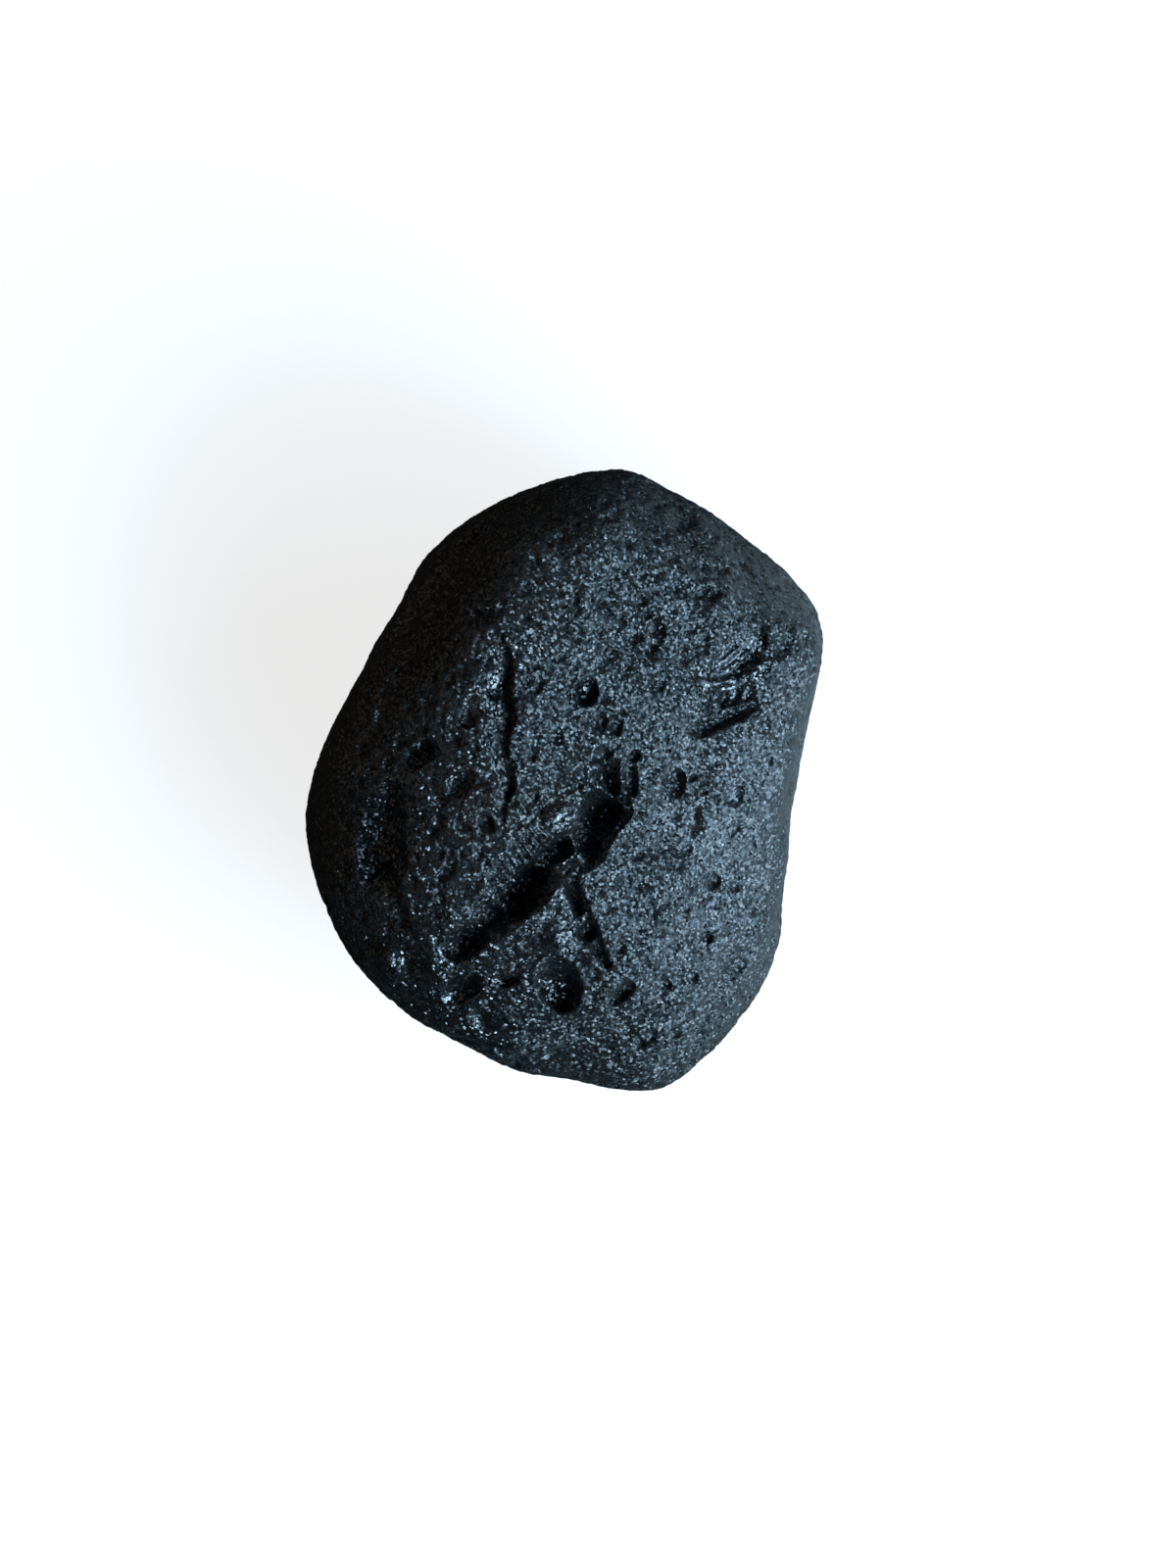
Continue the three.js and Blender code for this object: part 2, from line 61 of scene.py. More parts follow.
# The outline seen from above, anticlockwise from the right edge
OUTLINE = [
    (16.4, 0.0), (17.1, 3.2), (18.0, 6.8), (18.9, 9.8), (18.6, 12.0), (16.9, 13.8), (13.9, 16.3),
    (10.6, 19.0), (7.3, 20.9), (5.0, 22.7), (2.0, 22.9), (-1.3, 22.9), (-5.3, 22.8), (-8.5, 19.5),
    (-10.5, 16.0), (-12.0, 11.8), (-13.8, 8.6), (-15.0, 5.5), (-16.7, 3.0), (-18.4, -0.6),
    (-19.4, -3.6), (-19.2, -7.0), (-17.6, -10.5), (-14.9, -13.6), (-11.1, -16.3), (-7.0, -18.3),
    (-3.5, -20.1), (0.4, -20.9), (4.4, -22.2), (7.7, -22.8), (10.5, -20.7), (12.6, -18.1),
    (14.8, -14.7), (15.7, -11.5), (15.6, -8.4), (15.7, -3.9),
]

# Broad faces: azimuth and elevation that each looks along, in degrees, and distance from the middle
FACES = [
    (-8, 68, 12.2),
    (124, 20, 17.6),
    (47, 30, 19.2),
    (-38, 34, 18.6),
    (190, 46, 15.7),
    (258, 52, 16.4),
    (205, -38, 16.0),
    (-12, -44, 14.4),
    (92, -36, 17.6),
    (286, -48, 15.4),
]

# Slow swells: height, length from crest to crest, azimuth, elevation and start
SWELLS = [
    (0.22, 15, 20, 15, 0.4),
    (0.18, 11, 75, -25, 2.1),
    (0.14, 8.2, 140, 35, 4.0),
    (0.11, 6.1, 250, 10, 1.3),
    (0.08, 4.3, 330, -40, 5.2),
]

# How the finished stone is seen from straight above: stretch and shift of the body, and height of the view
SEEN_STRETCH = (1.031, 1.078)
SEEN_SHIFT = (0.09, 0.3)
SEEN_FROM = 475

WANDER = 0.2
WANDER_LENGTH = 4.4

# How a hollow's wall meets the skin, and how its bed turns from one wall to the other
SHARP_RIM = 0.65
PLAIN_RIM = 1.0
SOFT_RIM = 1.8
ROUND_BED = 2.0
CUT_BED = 1.0

# Banks of a furrow: share of the width, bed and rim
EVEN_BANK = (1.0, ROUND_BED, PLAIN_RIM)
SOFT_BANK = (1.0, ROUND_BED, SOFT_RIM)
STEEP_BANK = (0.6, ROUND_BED, PLAIN_RIM)
SLOPING_BANK = (2.8, CUT_BED, 1.5)
WEDGE_BANK = (2.8, CUT_BED, 1.0)

# Cups and hollows of the upper face: place, size across, length, the way it runs in degrees, depth and rim
HOLLOWS = [
    (2.7, 1.6, 1.4, 2.0, -50, 0.9, PLAIN_RIM),
    (3.4, 0.2, 1.8, 3.0, 85, 1.5, PLAIN_RIM),
    (2.6, -2.4, 3.2, 3.8, 60, 2.0, PLAIN_RIM),
    (1.6, -4.4, 2.4, 2.6, 40, 1.3, PLAIN_RIM),
    (-0.9, -5.0, 2.4, 3.4, 30, 1.9, PLAIN_RIM),
    (-2.1, -6.8, 2.4, 2.8, 45, 1.6, PLAIN_RIM),
    (-3.4, -8.3, 3.2, 4.0, 45, 1.9, PLAIN_RIM),
    (-5.0, -10.0, 2.5, 2.8, 45, 1.4, PLAIN_RIM),
    (-7.1, -11.5, 2.9, 4.0, 40, 1.4, PLAIN_RIM),
    (0.8, -8.4, 1.0, 2.9, 88, 1.0, PLAIN_RIM),
    (1.7, -11.0, 1.2, 2.0, -50, 1.0, PLAIN_RIM),
    (2.8, -12.5, 1.0, 2.0, -60, 0.8, PLAIN_RIM),
    (4.9, 0.2, 1.3, 2.9, 96, 1.0, PLAIN_RIM),
    (8.2, -0.1, 1.9, 2.2, 80, 0.8, PLAIN_RIM),
    (12.5, -0.9, 1.5, 1.9, 80, 0.5, PLAIN_RIM),
    (4.1, -15.3, 1.5, 2.3, 60, 0.9, PLAIN_RIM),
    (-4.2, -14.8, 0.9, 2.4, 5, 0.8, PLAIN_RIM),
    (-5.7, 11.7, 1.5, 2.8, 15, 0.5, PLAIN_RIM),
    (-11.1, -13.1, 2.6, 3.6, -45, 0.8, SOFT_RIM),
    (-7.5, -15.2, 2.4, 2.8, 10, 1.0, PLAIN_RIM),
    (-5.8, -17.4, 1.6, 2.2, -20, 0.6, SOFT_RIM),
    (-5.4, -19.1, 1.3, 1.5, 0, 0.5, PLAIN_RIM),
    (-6.9, 4.9, 1.8, 2.0, 60, 0.5, PLAIN_RIM),
    (-10.5, 2.1, 2.0, 2.3, 60, 0.9, PLAIN_RIM),
    (-7.5, -0.1, 2.0, 2.2, 80, 0.8, PLAIN_RIM),
    (-5.7, -3.0, 1.6, 1.7, 0, 0.6, PLAIN_RIM),
    (12.7, 9.0, 3.4, 6.0, 50, 0.8, SOFT_RIM),
    (11.9, 5.8, 3.6, 5.6, 28, 1.1, SOFT_RIM),
    (11.6, 4.5, 1.6, 5.6, 22, 1.1, PLAIN_RIM),
    (8.7, 19.0, 1.7, 2.4, -25, 0.9, PLAIN_RIM),
    (6.7, 10.8, 1.5, 1.6, 0, 0.7, PLAIN_RIM),
    (3.4, 12.6, 1.6, 1.9, 30, 0.4, PLAIN_RIM),
    (5.1, 10.3, 1.4, 1.6, 60, 0.4, PLAIN_RIM),
    (10.4, 13.4, 1.7, 2.0, 40, 0.4, PLAIN_RIM),
    (9.3, -3.0, 1.5, 2.8, 100, 0.4, SOFT_RIM),
    (10.9, -7.2, 1.4, 1.4, 0, 0.6, PLAIN_RIM),
    (6.7, -14.8, 1.6, 1.8, 40, 0.5, PLAIN_RIM),
    (12.8, -13.1, 1.3, 1.6, 60, 0.5, PLAIN_RIM),
    (-0.1, 17.3, 1.6, 1.6, 0, 0.3, SOFT_RIM),
]

# Burst bubbles with a thin raised lip: the same sizes
BUBBLES = [
    (1.6, 6.4, 1.9, 2.2, 80, 1.0, SHARP_RIM),
    (-0.4, -15.0, 3.4, 4.3, 100, 1.6, SHARP_RIM),
]
LIP_HEIGHT = 0.14
LIP_WIDTH = 0.09

# Small hollows that the solid leaves out: the same sizes
FINE_HOLLOWS = [
    (6.3, 12.0, 0.9, 1.2, 30, 0.4, PLAIN_RIM),
    (4.3, 12.0, 0.9, 1.1, 60, 0.35, PLAIN_RIM),
    (10.8, 13.3, 0.9, 1.0, 0, 0.35, PLAIN_RIM),
    (10.0, 13.8, 0.8, 1.2, 60, 0.35, PLAIN_RIM),
    (11.1, 15.3, 1.1, 1.2, 0, 0.4, PLAIN_RIM),
    (6.6, 19.9, 0.4, 0.6, 70, 0.5, PLAIN_RIM),
    (7.9, 20.2, 0.3, 0.9, 100, 0.3, PLAIN_RIM),
    (4.9, 1.9, 0.8, 1.0, 40, 0.45, PLAIN_RIM),
    (9.0, -9.1, 0.9, 0.9, 0, 0.4, PLAIN_RIM),
    (10.3, -11.6, 0.7, 1.0, 110, 0.45, PLAIN_RIM),
    (9.3, -14.2, 1.1, 1.1, 0, 0.45, PLAIN_RIM),
    (5.9, -13.5, 0.9, 0.9, 0, 0.4, PLAIN_RIM),
    (12.6, -15.5, 0.8, 1.1, 120, 0.5, PLAIN_RIM),
    (7.9, -18.4, 0.9, 0.9, 0, 0.45, PLAIN_RIM),
    (9.5, -18.5, 1.0, 1.0, 0, 0.45, PLAIN_RIM),
    (6.0, -18.5, 1.1, 1.1, 0, 0.5, PLAIN_RIM),
    (5.4, -19.2, 0.8, 0.8, 0, 0.35, PLAIN_RIM),
    (0.9, -18.5, 0.9, 0.9, 0, 0.45, PLAIN_RIM),
    (2.5, -19.0, 0.7, 0.7, 0, 0.3, PLAIN_RIM),
    (2.1, -14.1, 0.9, 0.9, 0, 0.4, PLAIN_RIM),
    (14.8, 1.6, 0.4, 1.3, 80, 0.35, PLAIN_RIM),
    (12.4, -8.0, 1.0, 1.0, 0, 0.35, PLAIN_RIM),
    (12.3, -3.5, 0.4, 1.0, 60, 0.3, PLAIN_RIM),
    (9.2, -5.2, 1.0, 1.4, 90, 0.35, SOFT_RIM),
    (-1.9, 6.8, 0.9, 1.2, 40, 0.35, PLAIN_RIM),
    (-0.8, 2.9, 1.2, 1.2, 0, 0.45, PLAIN_RIM),
    (3.8, 3.7, 1.0, 1.4, 60, 0.45, PLAIN_RIM),
    (2.6, 4.4, 1.2, 1.5, 90, 0.45, PLAIN_RIM),
    (4.1, -12.0, 0.9, 1.2, 70, 0.4, PLAIN_RIM),
    (-0.3, -16.5, 1.4, 1.3, 0, 0.45, PLAIN_RIM),
    (-2.2, 1.7, 1.0, 1.0, 0, 0.4, PLAIN_RIM),
    (-2.0, 16.1, 1.5, 1.5, 0, 0.3, SOFT_RIM),
    (9.2, 8.8, 0.6, 0.9, 60, 0.3, PLAIN_RIM),
    (10.2, 10.2, 0.5, 0.5, 0, 0.35, PLAIN_RIM),
    (9.3, 11.0, 0.4, 0.6, 80, 0.35, PLAIN_RIM),
    (6.7, 7.0, 0.9, 1.3, 10, 0.45, PLAIN_RIM),
    (9.5, 0.3, 0.6, 0.6, 0, 0.35, PLAIN_RIM),
    (10.4, -1.0, 0.5, 0.5, 0, 0.3, PLAIN_RIM),
    (2.3, -0.2, 1.0, 1.5, 80, 0.7, PLAIN_RIM),
    (13.5, 9.0, 0.6, 3.0, 50, 0.3, PLAIN_RIM),
    (12.6, 9.3, 0.6, 4.2, 50, 0.35, PLAIN_RIM),
    (11.7, 9.5, 0.5, 3.6, 50, 0.3, PLAIN_RIM),
    (12.6, 7.4, 0.5, 3.6, 24, 0.3, PLAIN_RIM),
    (11.6, 6.1, 0.7, 1.2, 40, 0.3, PLAIN_RIM),
    (10.6, 5.6, 0.7, 1.0, 0, 0.3, PLAIN_RIM),
    (13.4, 5.9, 0.6, 1.4, 60, 0.3, PLAIN_RIM),
    (15.9, 10.2, 1.0, 1.4, 70, 0.4, PLAIN_RIM),
    (17.1, 9.2, 0.8, 1.4, 100, 0.35, PLAIN_RIM),
    (15.6, 11.8, 0.9, 1.2, 40, 0.35, PLAIN_RIM),
    (-9.4, -3.6, 0.9, 1.2, 20, 0.35, PLAIN_RIM),
    (-9.0, -7.0, 1.1, 1.3, 60, 0.35, PLAIN_RIM),
    (-8.0, 2.8, 0.9, 1.1, 60, 0.35, PLAIN_RIM),
    (-9.8, 5.8, 1.1, 1.2, 0, 0.35, PLAIN_RIM),
    (-12.9, -6.4, 1.3, 1.5, 20, 0.5, PLAIN_RIM),
]

# Ribs across the upper bank of the gutter: first and last place, how many, and each groove's sizes
RIB_FIRST = (-1.1, -3.6)
RIB_LAST = (-5.2, -7.4)
RIB_COUNT = 10
RIB_GROOVE = (0.46, 2.2, -45, 0.6, PLAIN_RIM)

# Knobs of the upper face: place, size across and height
KNOBS = [
    (-0.1, -2.8, 2.8, 0.6),
    (1.5, -0.9, 1.3, 0.4),
    (2.3, 0.9, 1.1, 0.35),
    (-0.6, -8.4, 2.4, 0.6),
    (-0.3, -11.3, 2.3, 0.5),
    (2.2, -13.3, 1.6, 0.4),
    (-1.6, -4.4, 1.3, 0.3),
    (-13.4, -2.4, 1.2, 0.45),
    (-14.2, -4.0, 1.3, 0.45),
    (-13.9, -5.4, 1.0, 0.4),
    (-13.0, -13.1, 1.2, 0.3),
    (-12.4, -14.3, 1.0, 0.3),
]

# Ridges and beads that the solid leaves out: place, size across, length, the way each runs and height
FINE_KNOBS = [
    (12.5, 9.2, 1.8, 4.8, 50, 0.45),
    (12.0, 7.3, 0.8, 4.4, 8, 0.4),
    (11.2, 6.2, 0.8, 0.9, 0, 0.3),
    (12.3, 6.4, 0.8, 0.8, 0, 0.3),
    (13.2, 6.2, 0.8, 0.8, 0, 0.3),
    (11.6, 5.3, 0.7, 0.8, 0, 0.25),
    (12.6, 5.4, 0.7, 0.7, 0, 0.25),
    (10.4, 5.9, 0.8, 1.0, 0, 0.3),
    (10.2, 4.7, 0.8, 0.8, 0, 0.25),
    (15.0, 9.6, 0.7, 0.9, 30, 0.25),
    (15.9, 9.2, 0.7, 0.8, 0, 0.25),
    (16.6, 9.9, 0.7, 0.7, 0, 0.25),
    (15.4, 8.5, 0.7, 0.9, 30, 0.25),
    (14.9, 10.6, 0.7, 1.0, 60, 0.25),
    (4.3, -0.4, 0.8, 1.5, 85, 0.35),
    (-6.2, -8.1, 1.2, 1.5, 40, 0.4),
    (-5.4, -9.3, 0.8, 1.8, 60, 0.4),
    (-12.6, -3.6, 0.8, 0.9, 0, 0.4),
    (-12.9, -5.6, 0.8, 1.0, 0, 0.4),
    (-12.2, -6.9, 0.8, 0.8, 0, 0.35),
    (-11.8, -1.9, 0.9, 0.9, 0, 0.35),
    (-14.6, -2.6, 0.8, 0.9, 0, 0.3),
]

# Furrows of the upper face: points of place, width and depth, then the left and right banks
FURROWS = [
    (
        [(2.5, 1.5, 1.5, 0.3), (3.7, -0.4, 2.6, 0.8), (3.2, -2.3, 4.2, 1.2), (1.3, -4.2, 4.8, 1.3),
         (-1.0, -6.1, 4.4, 1.2), (-3.2, -8.2, 4.4, 1.1), (-5.3, -10.2, 3.6, 0.9), (-7.6, -12.4, 3.2, 0.6)],
        (0.85, ROUND_BED, PLAIN_RIM), (1.3, ROUND_BED, SOFT_RIM),
    ),
    (
        [(0.3, -6.4, 0.8, 0.3), (0.9, -8.2, 1.5, 0.9), (1.1, -9.9, 1.5, 0.9), (2.0, -11.6, 1.5, 0.8),
         (2.9, -13.4, 0.9, 0.2)],
        EVEN_BANK, SOFT_BANK,
    ),
    (
        [(-4.5, 10.8, 0.6, 0.2), (-4.2, 8.6, 1.1, 0.7), (-4.0, 6.6, 1.5, 1.3), (-4.0, 4.8, 1.3, 1.1),
         (-4.2, 3.4, 1.0, 0.8), (-4.1, 1.4, 1.0, 0.7), (-3.9, -0.4, 1.0, 0.7), (-4.2, -2.8, 0.6, 0.3)],
        STEEP_BANK, WEDGE_BANK,
    ),
    (
        [(14.2, 11.5, 0.4, 0.15), (14.2, 10.6, 0.7, 0.6), (14.3, 9.7, 0.7, 0.5), (14.2, 8.9, 0.5, 0.15)],
        STEEP_BANK, STEEP_BANK,
    ),
    (
        [(14.0, 8.8, 1.0, 0.3), (15.1, 9.2, 1.5, 0.5), (16.2, 9.9, 1.3, 0.4), (17.0, 10.1, 0.8, 0.2)],
        SOFT_BANK, EVEN_BANK,
    ),
    (
        [(-12.6, -0.8, 1.6, 0.4), (-12.8, -2.8, 3.0, 1.0), (-13.2, -4.6, 3.6, 1.3), (-13.0, -6.6, 3.2, 1.5),
         (-12.3, -8.8, 2.0, 0.6), (-11.8, -10.4, 1.2, 0.2)],
        EVEN_BANK, EVEN_BANK,
    ),
    (
        [(-14.4, 2.4, 0.8, 0.15), (-12.4, 6.6, 1.4, 0.5), (-10.6, 10.4, 1.5, 0.55), (-8.9, 14.2, 1.5, 0.5),
         (-6.6, 17.2, 1.3, 0.4), (-3.4, 19.6, 0.8, 0.15)],
        EVEN_BANK, SLOPING_BANK,
    ),
]

# The sloping bank that the ribs cross, which the solid leaves out: the same kind of points and banks
FINE_FURROWS = [
    (
        [(-0.3, -3.9, 1.6, 0.3), (-1.2, -4.6, 1.6, 0.9), (-2.8, -5.9, 1.6, 0.9), (-4.6, -7.7, 1.6, 0.8),
         (-5.8, -8.9, 1.2, 0.3)],
        EVEN_BANK, (2.0, CUT_BED, PLAIN_RIM),
    ),
]

# Furrows of the flanks: points of azimuth, elevation, width and depth
FLANK_FURROWS = [
    [(104, 12, 2.0, 0.3), (114, 16, 3.2, 0.8), (124, 17, 3.6, 1.0), (134, 17, 3.4, 0.9),
     (143, 16, 2.4, 0.5)],
    [(176, -8, 2.0, 0.3), (190, -15, 3.6, 0.9), (203, -24, 3.6, 0.8), (218, -34, 2.4, 0.3)],
    [(-22, -20, 2.0, 0.3), (-10, -25, 3.2, 0.7), (2, -31, 3.4, 0.8), (12, -40, 2.4, 0.4)],
    [(262, -9, 1.8, 0.3), (272, -18, 3.2, 0.8), (280, -30, 3.6, 0.8), (282, -44, 2.6, 0.4)],
    [(70, -6, 1.8, 0.3), (80, -18, 3.2, 0.8), (94, -28, 3.4, 0.8), (108, -36, 2.4, 0.3)],
]

# Pits of the flanks and the belly
FLANK_PIT_COUNT = 74
FLANK_PIT_HIGHEST = -0.13
FLANK_PIT_LOWEST = -0.86
FLANK_PIT_SMALLEST = 1.5
FLANK_PIT_LARGEST = 4.2
FLANK_PIT_DEPTH_SHARE = 0.24
FLANK_PIT_STRAYING = 0.16
FLANK_PIT_SOFT_SHARE = 0.4
FLANK_PIT_SEED = 41

# Repeatable random numbers: each state is the last one times a factor, plus a step, within a range
RANDOM_FACTOR = 1664525
RANDOM_STEP = 1013904223
RANDOM_RANGE = 4294967296

# The turn from one flank pit to the next, and the turn over which a slope is measured, in radians
GOLDEN_TURN = math.pi * (3 - math.sqrt(5))
SMALL_TURN = 0.002

# The skin this near the flat that the stone rests on isn't etched
RESTING_BAND = 0.02

# Corners of the twenty-sided ball are neighbours up to this share of the shortest gap between two
NEIGHBOUR_REACH = 1.01

# Zones of the skin seen from above: place, size across, length, the way it runs and strength
CUPPED_ZONES = [
    (7.0, 10.5, 9.0, 12.0, 40, 1.0),
    (2.5, 13.5, 7.0, 12.0, 20, 0.8),
    (3.5, 2.5, 5.0, 7.0, 60, 0.9),
    (9.0, -10.5, 10.0, 13.0, 70, 0.7),
    (-9.0, 1.0, 7.0, 13.0, 80, 0.8),
    (-4.0, -2.0, 5.0, 9.0, 90, 0.7),
    (-10.5, -12.5, 7.0, 11.0, -45, 1.0),
    (-1.0, -11.5, 5.0, 8.0, 70, 0.8),
    (4.0, -17.0, 6.0, 11.0, 10, 0.7),
    (15.5, 10.5, 3.5, 5.0, 60, 0.9),
]
GLASSY_ZONES = [
    (-0.4, -15.0, 3.5, 4.4, 100, 1.0),
    (1.6, 6.4, 2.0, 2.3, 80, 1.0),
    (12.0, 7.4, 5.0, 8.6, 50, 1.0),
    (-5.0, 6.6, 1.6, 4.6, 86, 0.8),
    (-13.3, -4.8, 3.0, 6.4, 88, 0.8),
    (-3.1, 9.2, 1.8, 3.8, 80, 0.8),
    (2.6, -2.6, 2.4, 4.4, 60, 0.9),
    (-0.2, -2.6, 2.0, 2.0, 0, 0.9),
    (-0.3, -11.3, 1.8, 1.8, 0, 0.6),
    (-7.0, -11.4, 2.2, 3.2, 40, 0.7),
    (-2.4, -6.8, 4.6, 10.0, 45, 0.6),
    (2.6, -0.6, 3.4, 6.0, 70, 0.6),
    (-8.0, -15.0, 9.0, 15.0, -35, 1.0),
    (-12.0, -4.5, 7.0, 14.0, 88, 0.6),
    (-9.0, 0.5, 6.0, 8.0, 80, 0.5),
    (0.2, -10.0, 4.0, 8.0, 80, 0.5),
    (7.9, 19.4, 1.8, 3.0, -25, 0.7),
]
QUIET_ZONES = [
    (15.6, -1.0, 5.0, 24.0, 80, 0.8),
    (11.5, -4.0, 11.0, 25.0, 85, 0.6),
    (-17.5, -2.0, 5.0, 18.0, 85, 0.9),
    (-13.5, 11.5, 6.0, 22.0, 52, 0.7),
    (-16.0, 5.0, 5.0, 12.0, 62, 0.8),
]

# Sizes and depths of the etching, in millimetres
ETCHING = {
    "Cup Size": 1.7,
    "Cup Depth": 0.85,
    "Pit Size": 0.9,
    "Pit Depth": 0.5,
    "Bump Size": 1.2,
    "Bump Height": 0.42,
    "Grain Size": 0.46,
    "Grain Height": 0.24,
    "Seed": 7.0,
}

# The etching's layers: share of the cells that hold a pit, and a pit's widths as shares of its cell
CUP_CROWDING = 0.6
PIT_CROWDING = 0.8
BUMP_CROWDING = 0.6
NARROWEST_PIT = 0.2
WIDEST_PIT = 0.62

# How deep cups are outside the cupped zones, and how much the quiet and the glassy zones lose
PLAIN_CUPPING = 0.3
QUIET_CALM = 0.8
GLASSY_CALM = 0.8

# How the pits stray from round, patches in a millimetre and millimetres, and how far off the bumps are laid
STRAY_PACE = 1.1
STRAY_REACH = 1.0
BUMP_SHIFT = (31.0, 17.0, 5.0)

# The grain's finer layers and how strong they are
GRAIN_DETAIL = 1.0
GRAIN_HARSHNESS = 0.6

# Random colours lie round this one
MIDDLE_GREY = (0.5, 0.5, 0.5)

# The black glass: how it bends light, its two tints, their patches in a millimetre and the patches' edges
REFRACTION = 1.5
BLUE_BLACK = (0.0015, 0.0017, 0.002, 1.0)
BROWN_BLACK = (0.003, 0.0024, 0.0018, 1.0)
TINT_PACE = 0.25
TINT_EDGES = (0.35, 0.65)

# Its roughness, from patch to patch, and how much smoother the glassy zones and the glints are
ROUGHNESS_PACE = 1.6
ROUGHNESS_EDGES = (0.3, 0.7)
LEAST_ROUGHNESS = 0.37
MOST_ROUGHNESS = 0.5
GLASSY_SMOOTHING = 0.25
GLINT_SMOOTHING = 0.2
SMOOTHEST = 0.12

# Its facets: size in millimetres and steepest tilt, and how much the glassy and the quiet zones lose
FINE_FACETS = (0.17, 0.66)
BROAD_FACETS = (0.4, 0.15)
FACET_GLASSY_CALM = 0.8
FACET_QUIET_CALM = 0.6

# Its glints: size and steepest tilt, their share of the skin, and how much more the glassy zones have
GLINTS = (0.2, 2.6)
GLINT_SHARE = 0.04
GLASSY_GLINT_SHARE = 0.35

# The card: size in metres, colour, roughness, and the glow that keeps it white
CARD_SIZE = 4.0
CARD_COLOUR = (0.2, 0.19, 0.18, 1)
CARD_ROUGHNESS = 0.9
CARD_GLOW = 0.8

# The photograph in its own pixels: its height, its middle and the stone's middle, and a pixel in metres
PHOTO_HEIGHT = 1600
PHOTO_MIDDLE = (600, 800)
STONE_MIDDLE = (576, 796)
PIXEL = 0.0712 * MM

# The camera: lens and sensor in millimetres, and how far it sees in metres
LENS = 150.0
SENSOR = 36.0
FARTHEST_SEEN = 20

# Windows: azimuth, elevation, distance, width and height in metres, radiance and colour
WINDOWS = {
    "daylight": (-25, 29, 0.6, 1.1, 0.64, 7.6, (0.44, 0.73, 1.0)),
    "bright_sky": (-36, 34, 0.58, 0.38, 0.24, 27.0, (0.55, 0.79, 1.0)),
    "warm_return": (150, 25, 0.6, 0.9, 0.4, 0.6, (1.0, 0.85, 0.7)),
}

# The light off the card: width and height in metres, radiance, colour and place
TABLE_GLOW = (0.2, 0.3, 0.9, (0.6, 0.85, 1.0))
TABLE_GLOW_PLACE = (0.12, 0.0, 0.8 * MM)

# The room: its colour, and the share of its full light that reaches the stone
ROOM_COLOUR = (0.9, 0.95, 1.0, 1)
ROOM_LIGHT = 0.02


def look_along(azimuth, elevation):
    """A direction from its azimuth and elevation in degrees."""
    turn = math.radians(azimuth)
    rise = math.radians(elevation)
    return np.array([math.cos(turn) * math.cos(rise), math.sin(turn) * math.cos(rise), math.sin(rise)])


def random_shares(seed):
    """Random shares from 0 to 1, the same on every run."""
    state = seed
    while True:
        state = (state * RANDOM_FACTOR + RANDOM_STEP) % RANDOM_RANGE
        yield state / RANDOM_RANGE


def outline_knots():
    """Angles, reaches and slopes of the outline's points, in order round the stone."""
    knots = sorted((math.atan2(y, x), math.hypot(x, y)) for x, y in OUTLINE)
    angles = np.array([angle for angle, _ in knots])
    reaches = np.array([reach for _, reach in knots])
    spans = (np.roll(angles, -1) - np.roll(angles, 1)) % (2 * math.pi)
    slopes = (np.roll(reaches, -1) - np.roll(reaches, 1)) / spans
    return angles, reaches, slopes


def outline_reach(angle):
    """How far the stone reaches at each angle, on a smooth curve through the outline's points."""
    angles, reaches, slopes = outline_knots()
    end = np.searchsorted(angles, angle, side="right") % len(angles)
    start = end - 1
    span = (angles[end] - angles[start]) % (2 * math.pi)
    share = ((angle - angles[start]) % (2 * math.pi)) / span
    square = share ** 2
    cube = share ** 3
    from_start = (2 * cube - 3 * square + 1) * reaches[start]
    from_start += (cube - 2 * square + share) * span * slopes[start]
    from_end = (3 * square - 2 * cube) * reaches[end] + (cube - square) * span * slopes[end]
    return from_start + from_end


def body_points(looks):
    """The plain body: the dome and belly over the outline, cut by the broad faces."""
    level = np.hypot(looks[:, 0], looks[:, 1])
    reach = outline_reach(np.arctan2(looks[:, 1], looks[:, 0]))
    upper = looks[:, 2] > 0
    rise = np.where(upper, CROWN_RISE, BELLY_DROP)
    fullness = np.where(upper, CROWN_FULLNESS, BELLY_FULLNESS)
    ball = (level / reach) ** fullness + (np.abs(looks[:, 2]) / rise) ** fullness
    closeness = ball ** (FACE_CRISPNESS / fullness)
    for azimuth, elevation, distance in FACES:
        facing = np.maximum(0, looks @ look_along(azimuth, elevation)) / distance
        closeness += facing ** FACE_CRISPNESS
    return looks * (closeness ** (-1 / FACE_CRISPNESS))[:, None]


def unit(vectors):
    """Vectors scaled to length 1."""
    return vectors / np.linalg.norm(vectors, axis=1, keepdims=True)


def body_normals(looks, points):
    """The directions in which the plain body faces."""
    aside = np.stack([-looks[:, 1], looks[:, 0], np.zeros(len(looks))], axis=1)
    aside[np.hypot(aside[:, 0], aside[:, 1]) < 1e-6] = (1, 0, 0)
    aside = unit(aside)
    upward = np.cross(looks, aside)
    beside = body_points(unit(looks + SMALL_TURN * aside)) - points
    above = body_points(unit(looks + SMALL_TURN * upward)) - points
    return unit(np.cross(beside, above))


def swell_heights(points):
    """Heights of the slow swells at points of the body."""
    total = np.zeros(len(points))
    for height, length, azimuth, elevation, start in SWELLS:
        wave = look_along(azimuth, elevation) * 2 * math.pi / length
        total += height * np.sin(points @ wave + start)
    return total


def seen_from_above(points):
    """Points of the body moved to where they are seen from straight above in the finished stone."""
    nearer = SEEN_FROM / (SEEN_FROM - points[:, 2])
    x = (points[:, 0] * SEEN_STRETCH[0] + SEEN_SHIFT[0]) * nearer
    y = (points[:, 1] * SEEN_STRETCH[1] + SEEN_SHIFT[1]) * nearer
    return np.stack([x, y, points[:, 2]], axis=1)


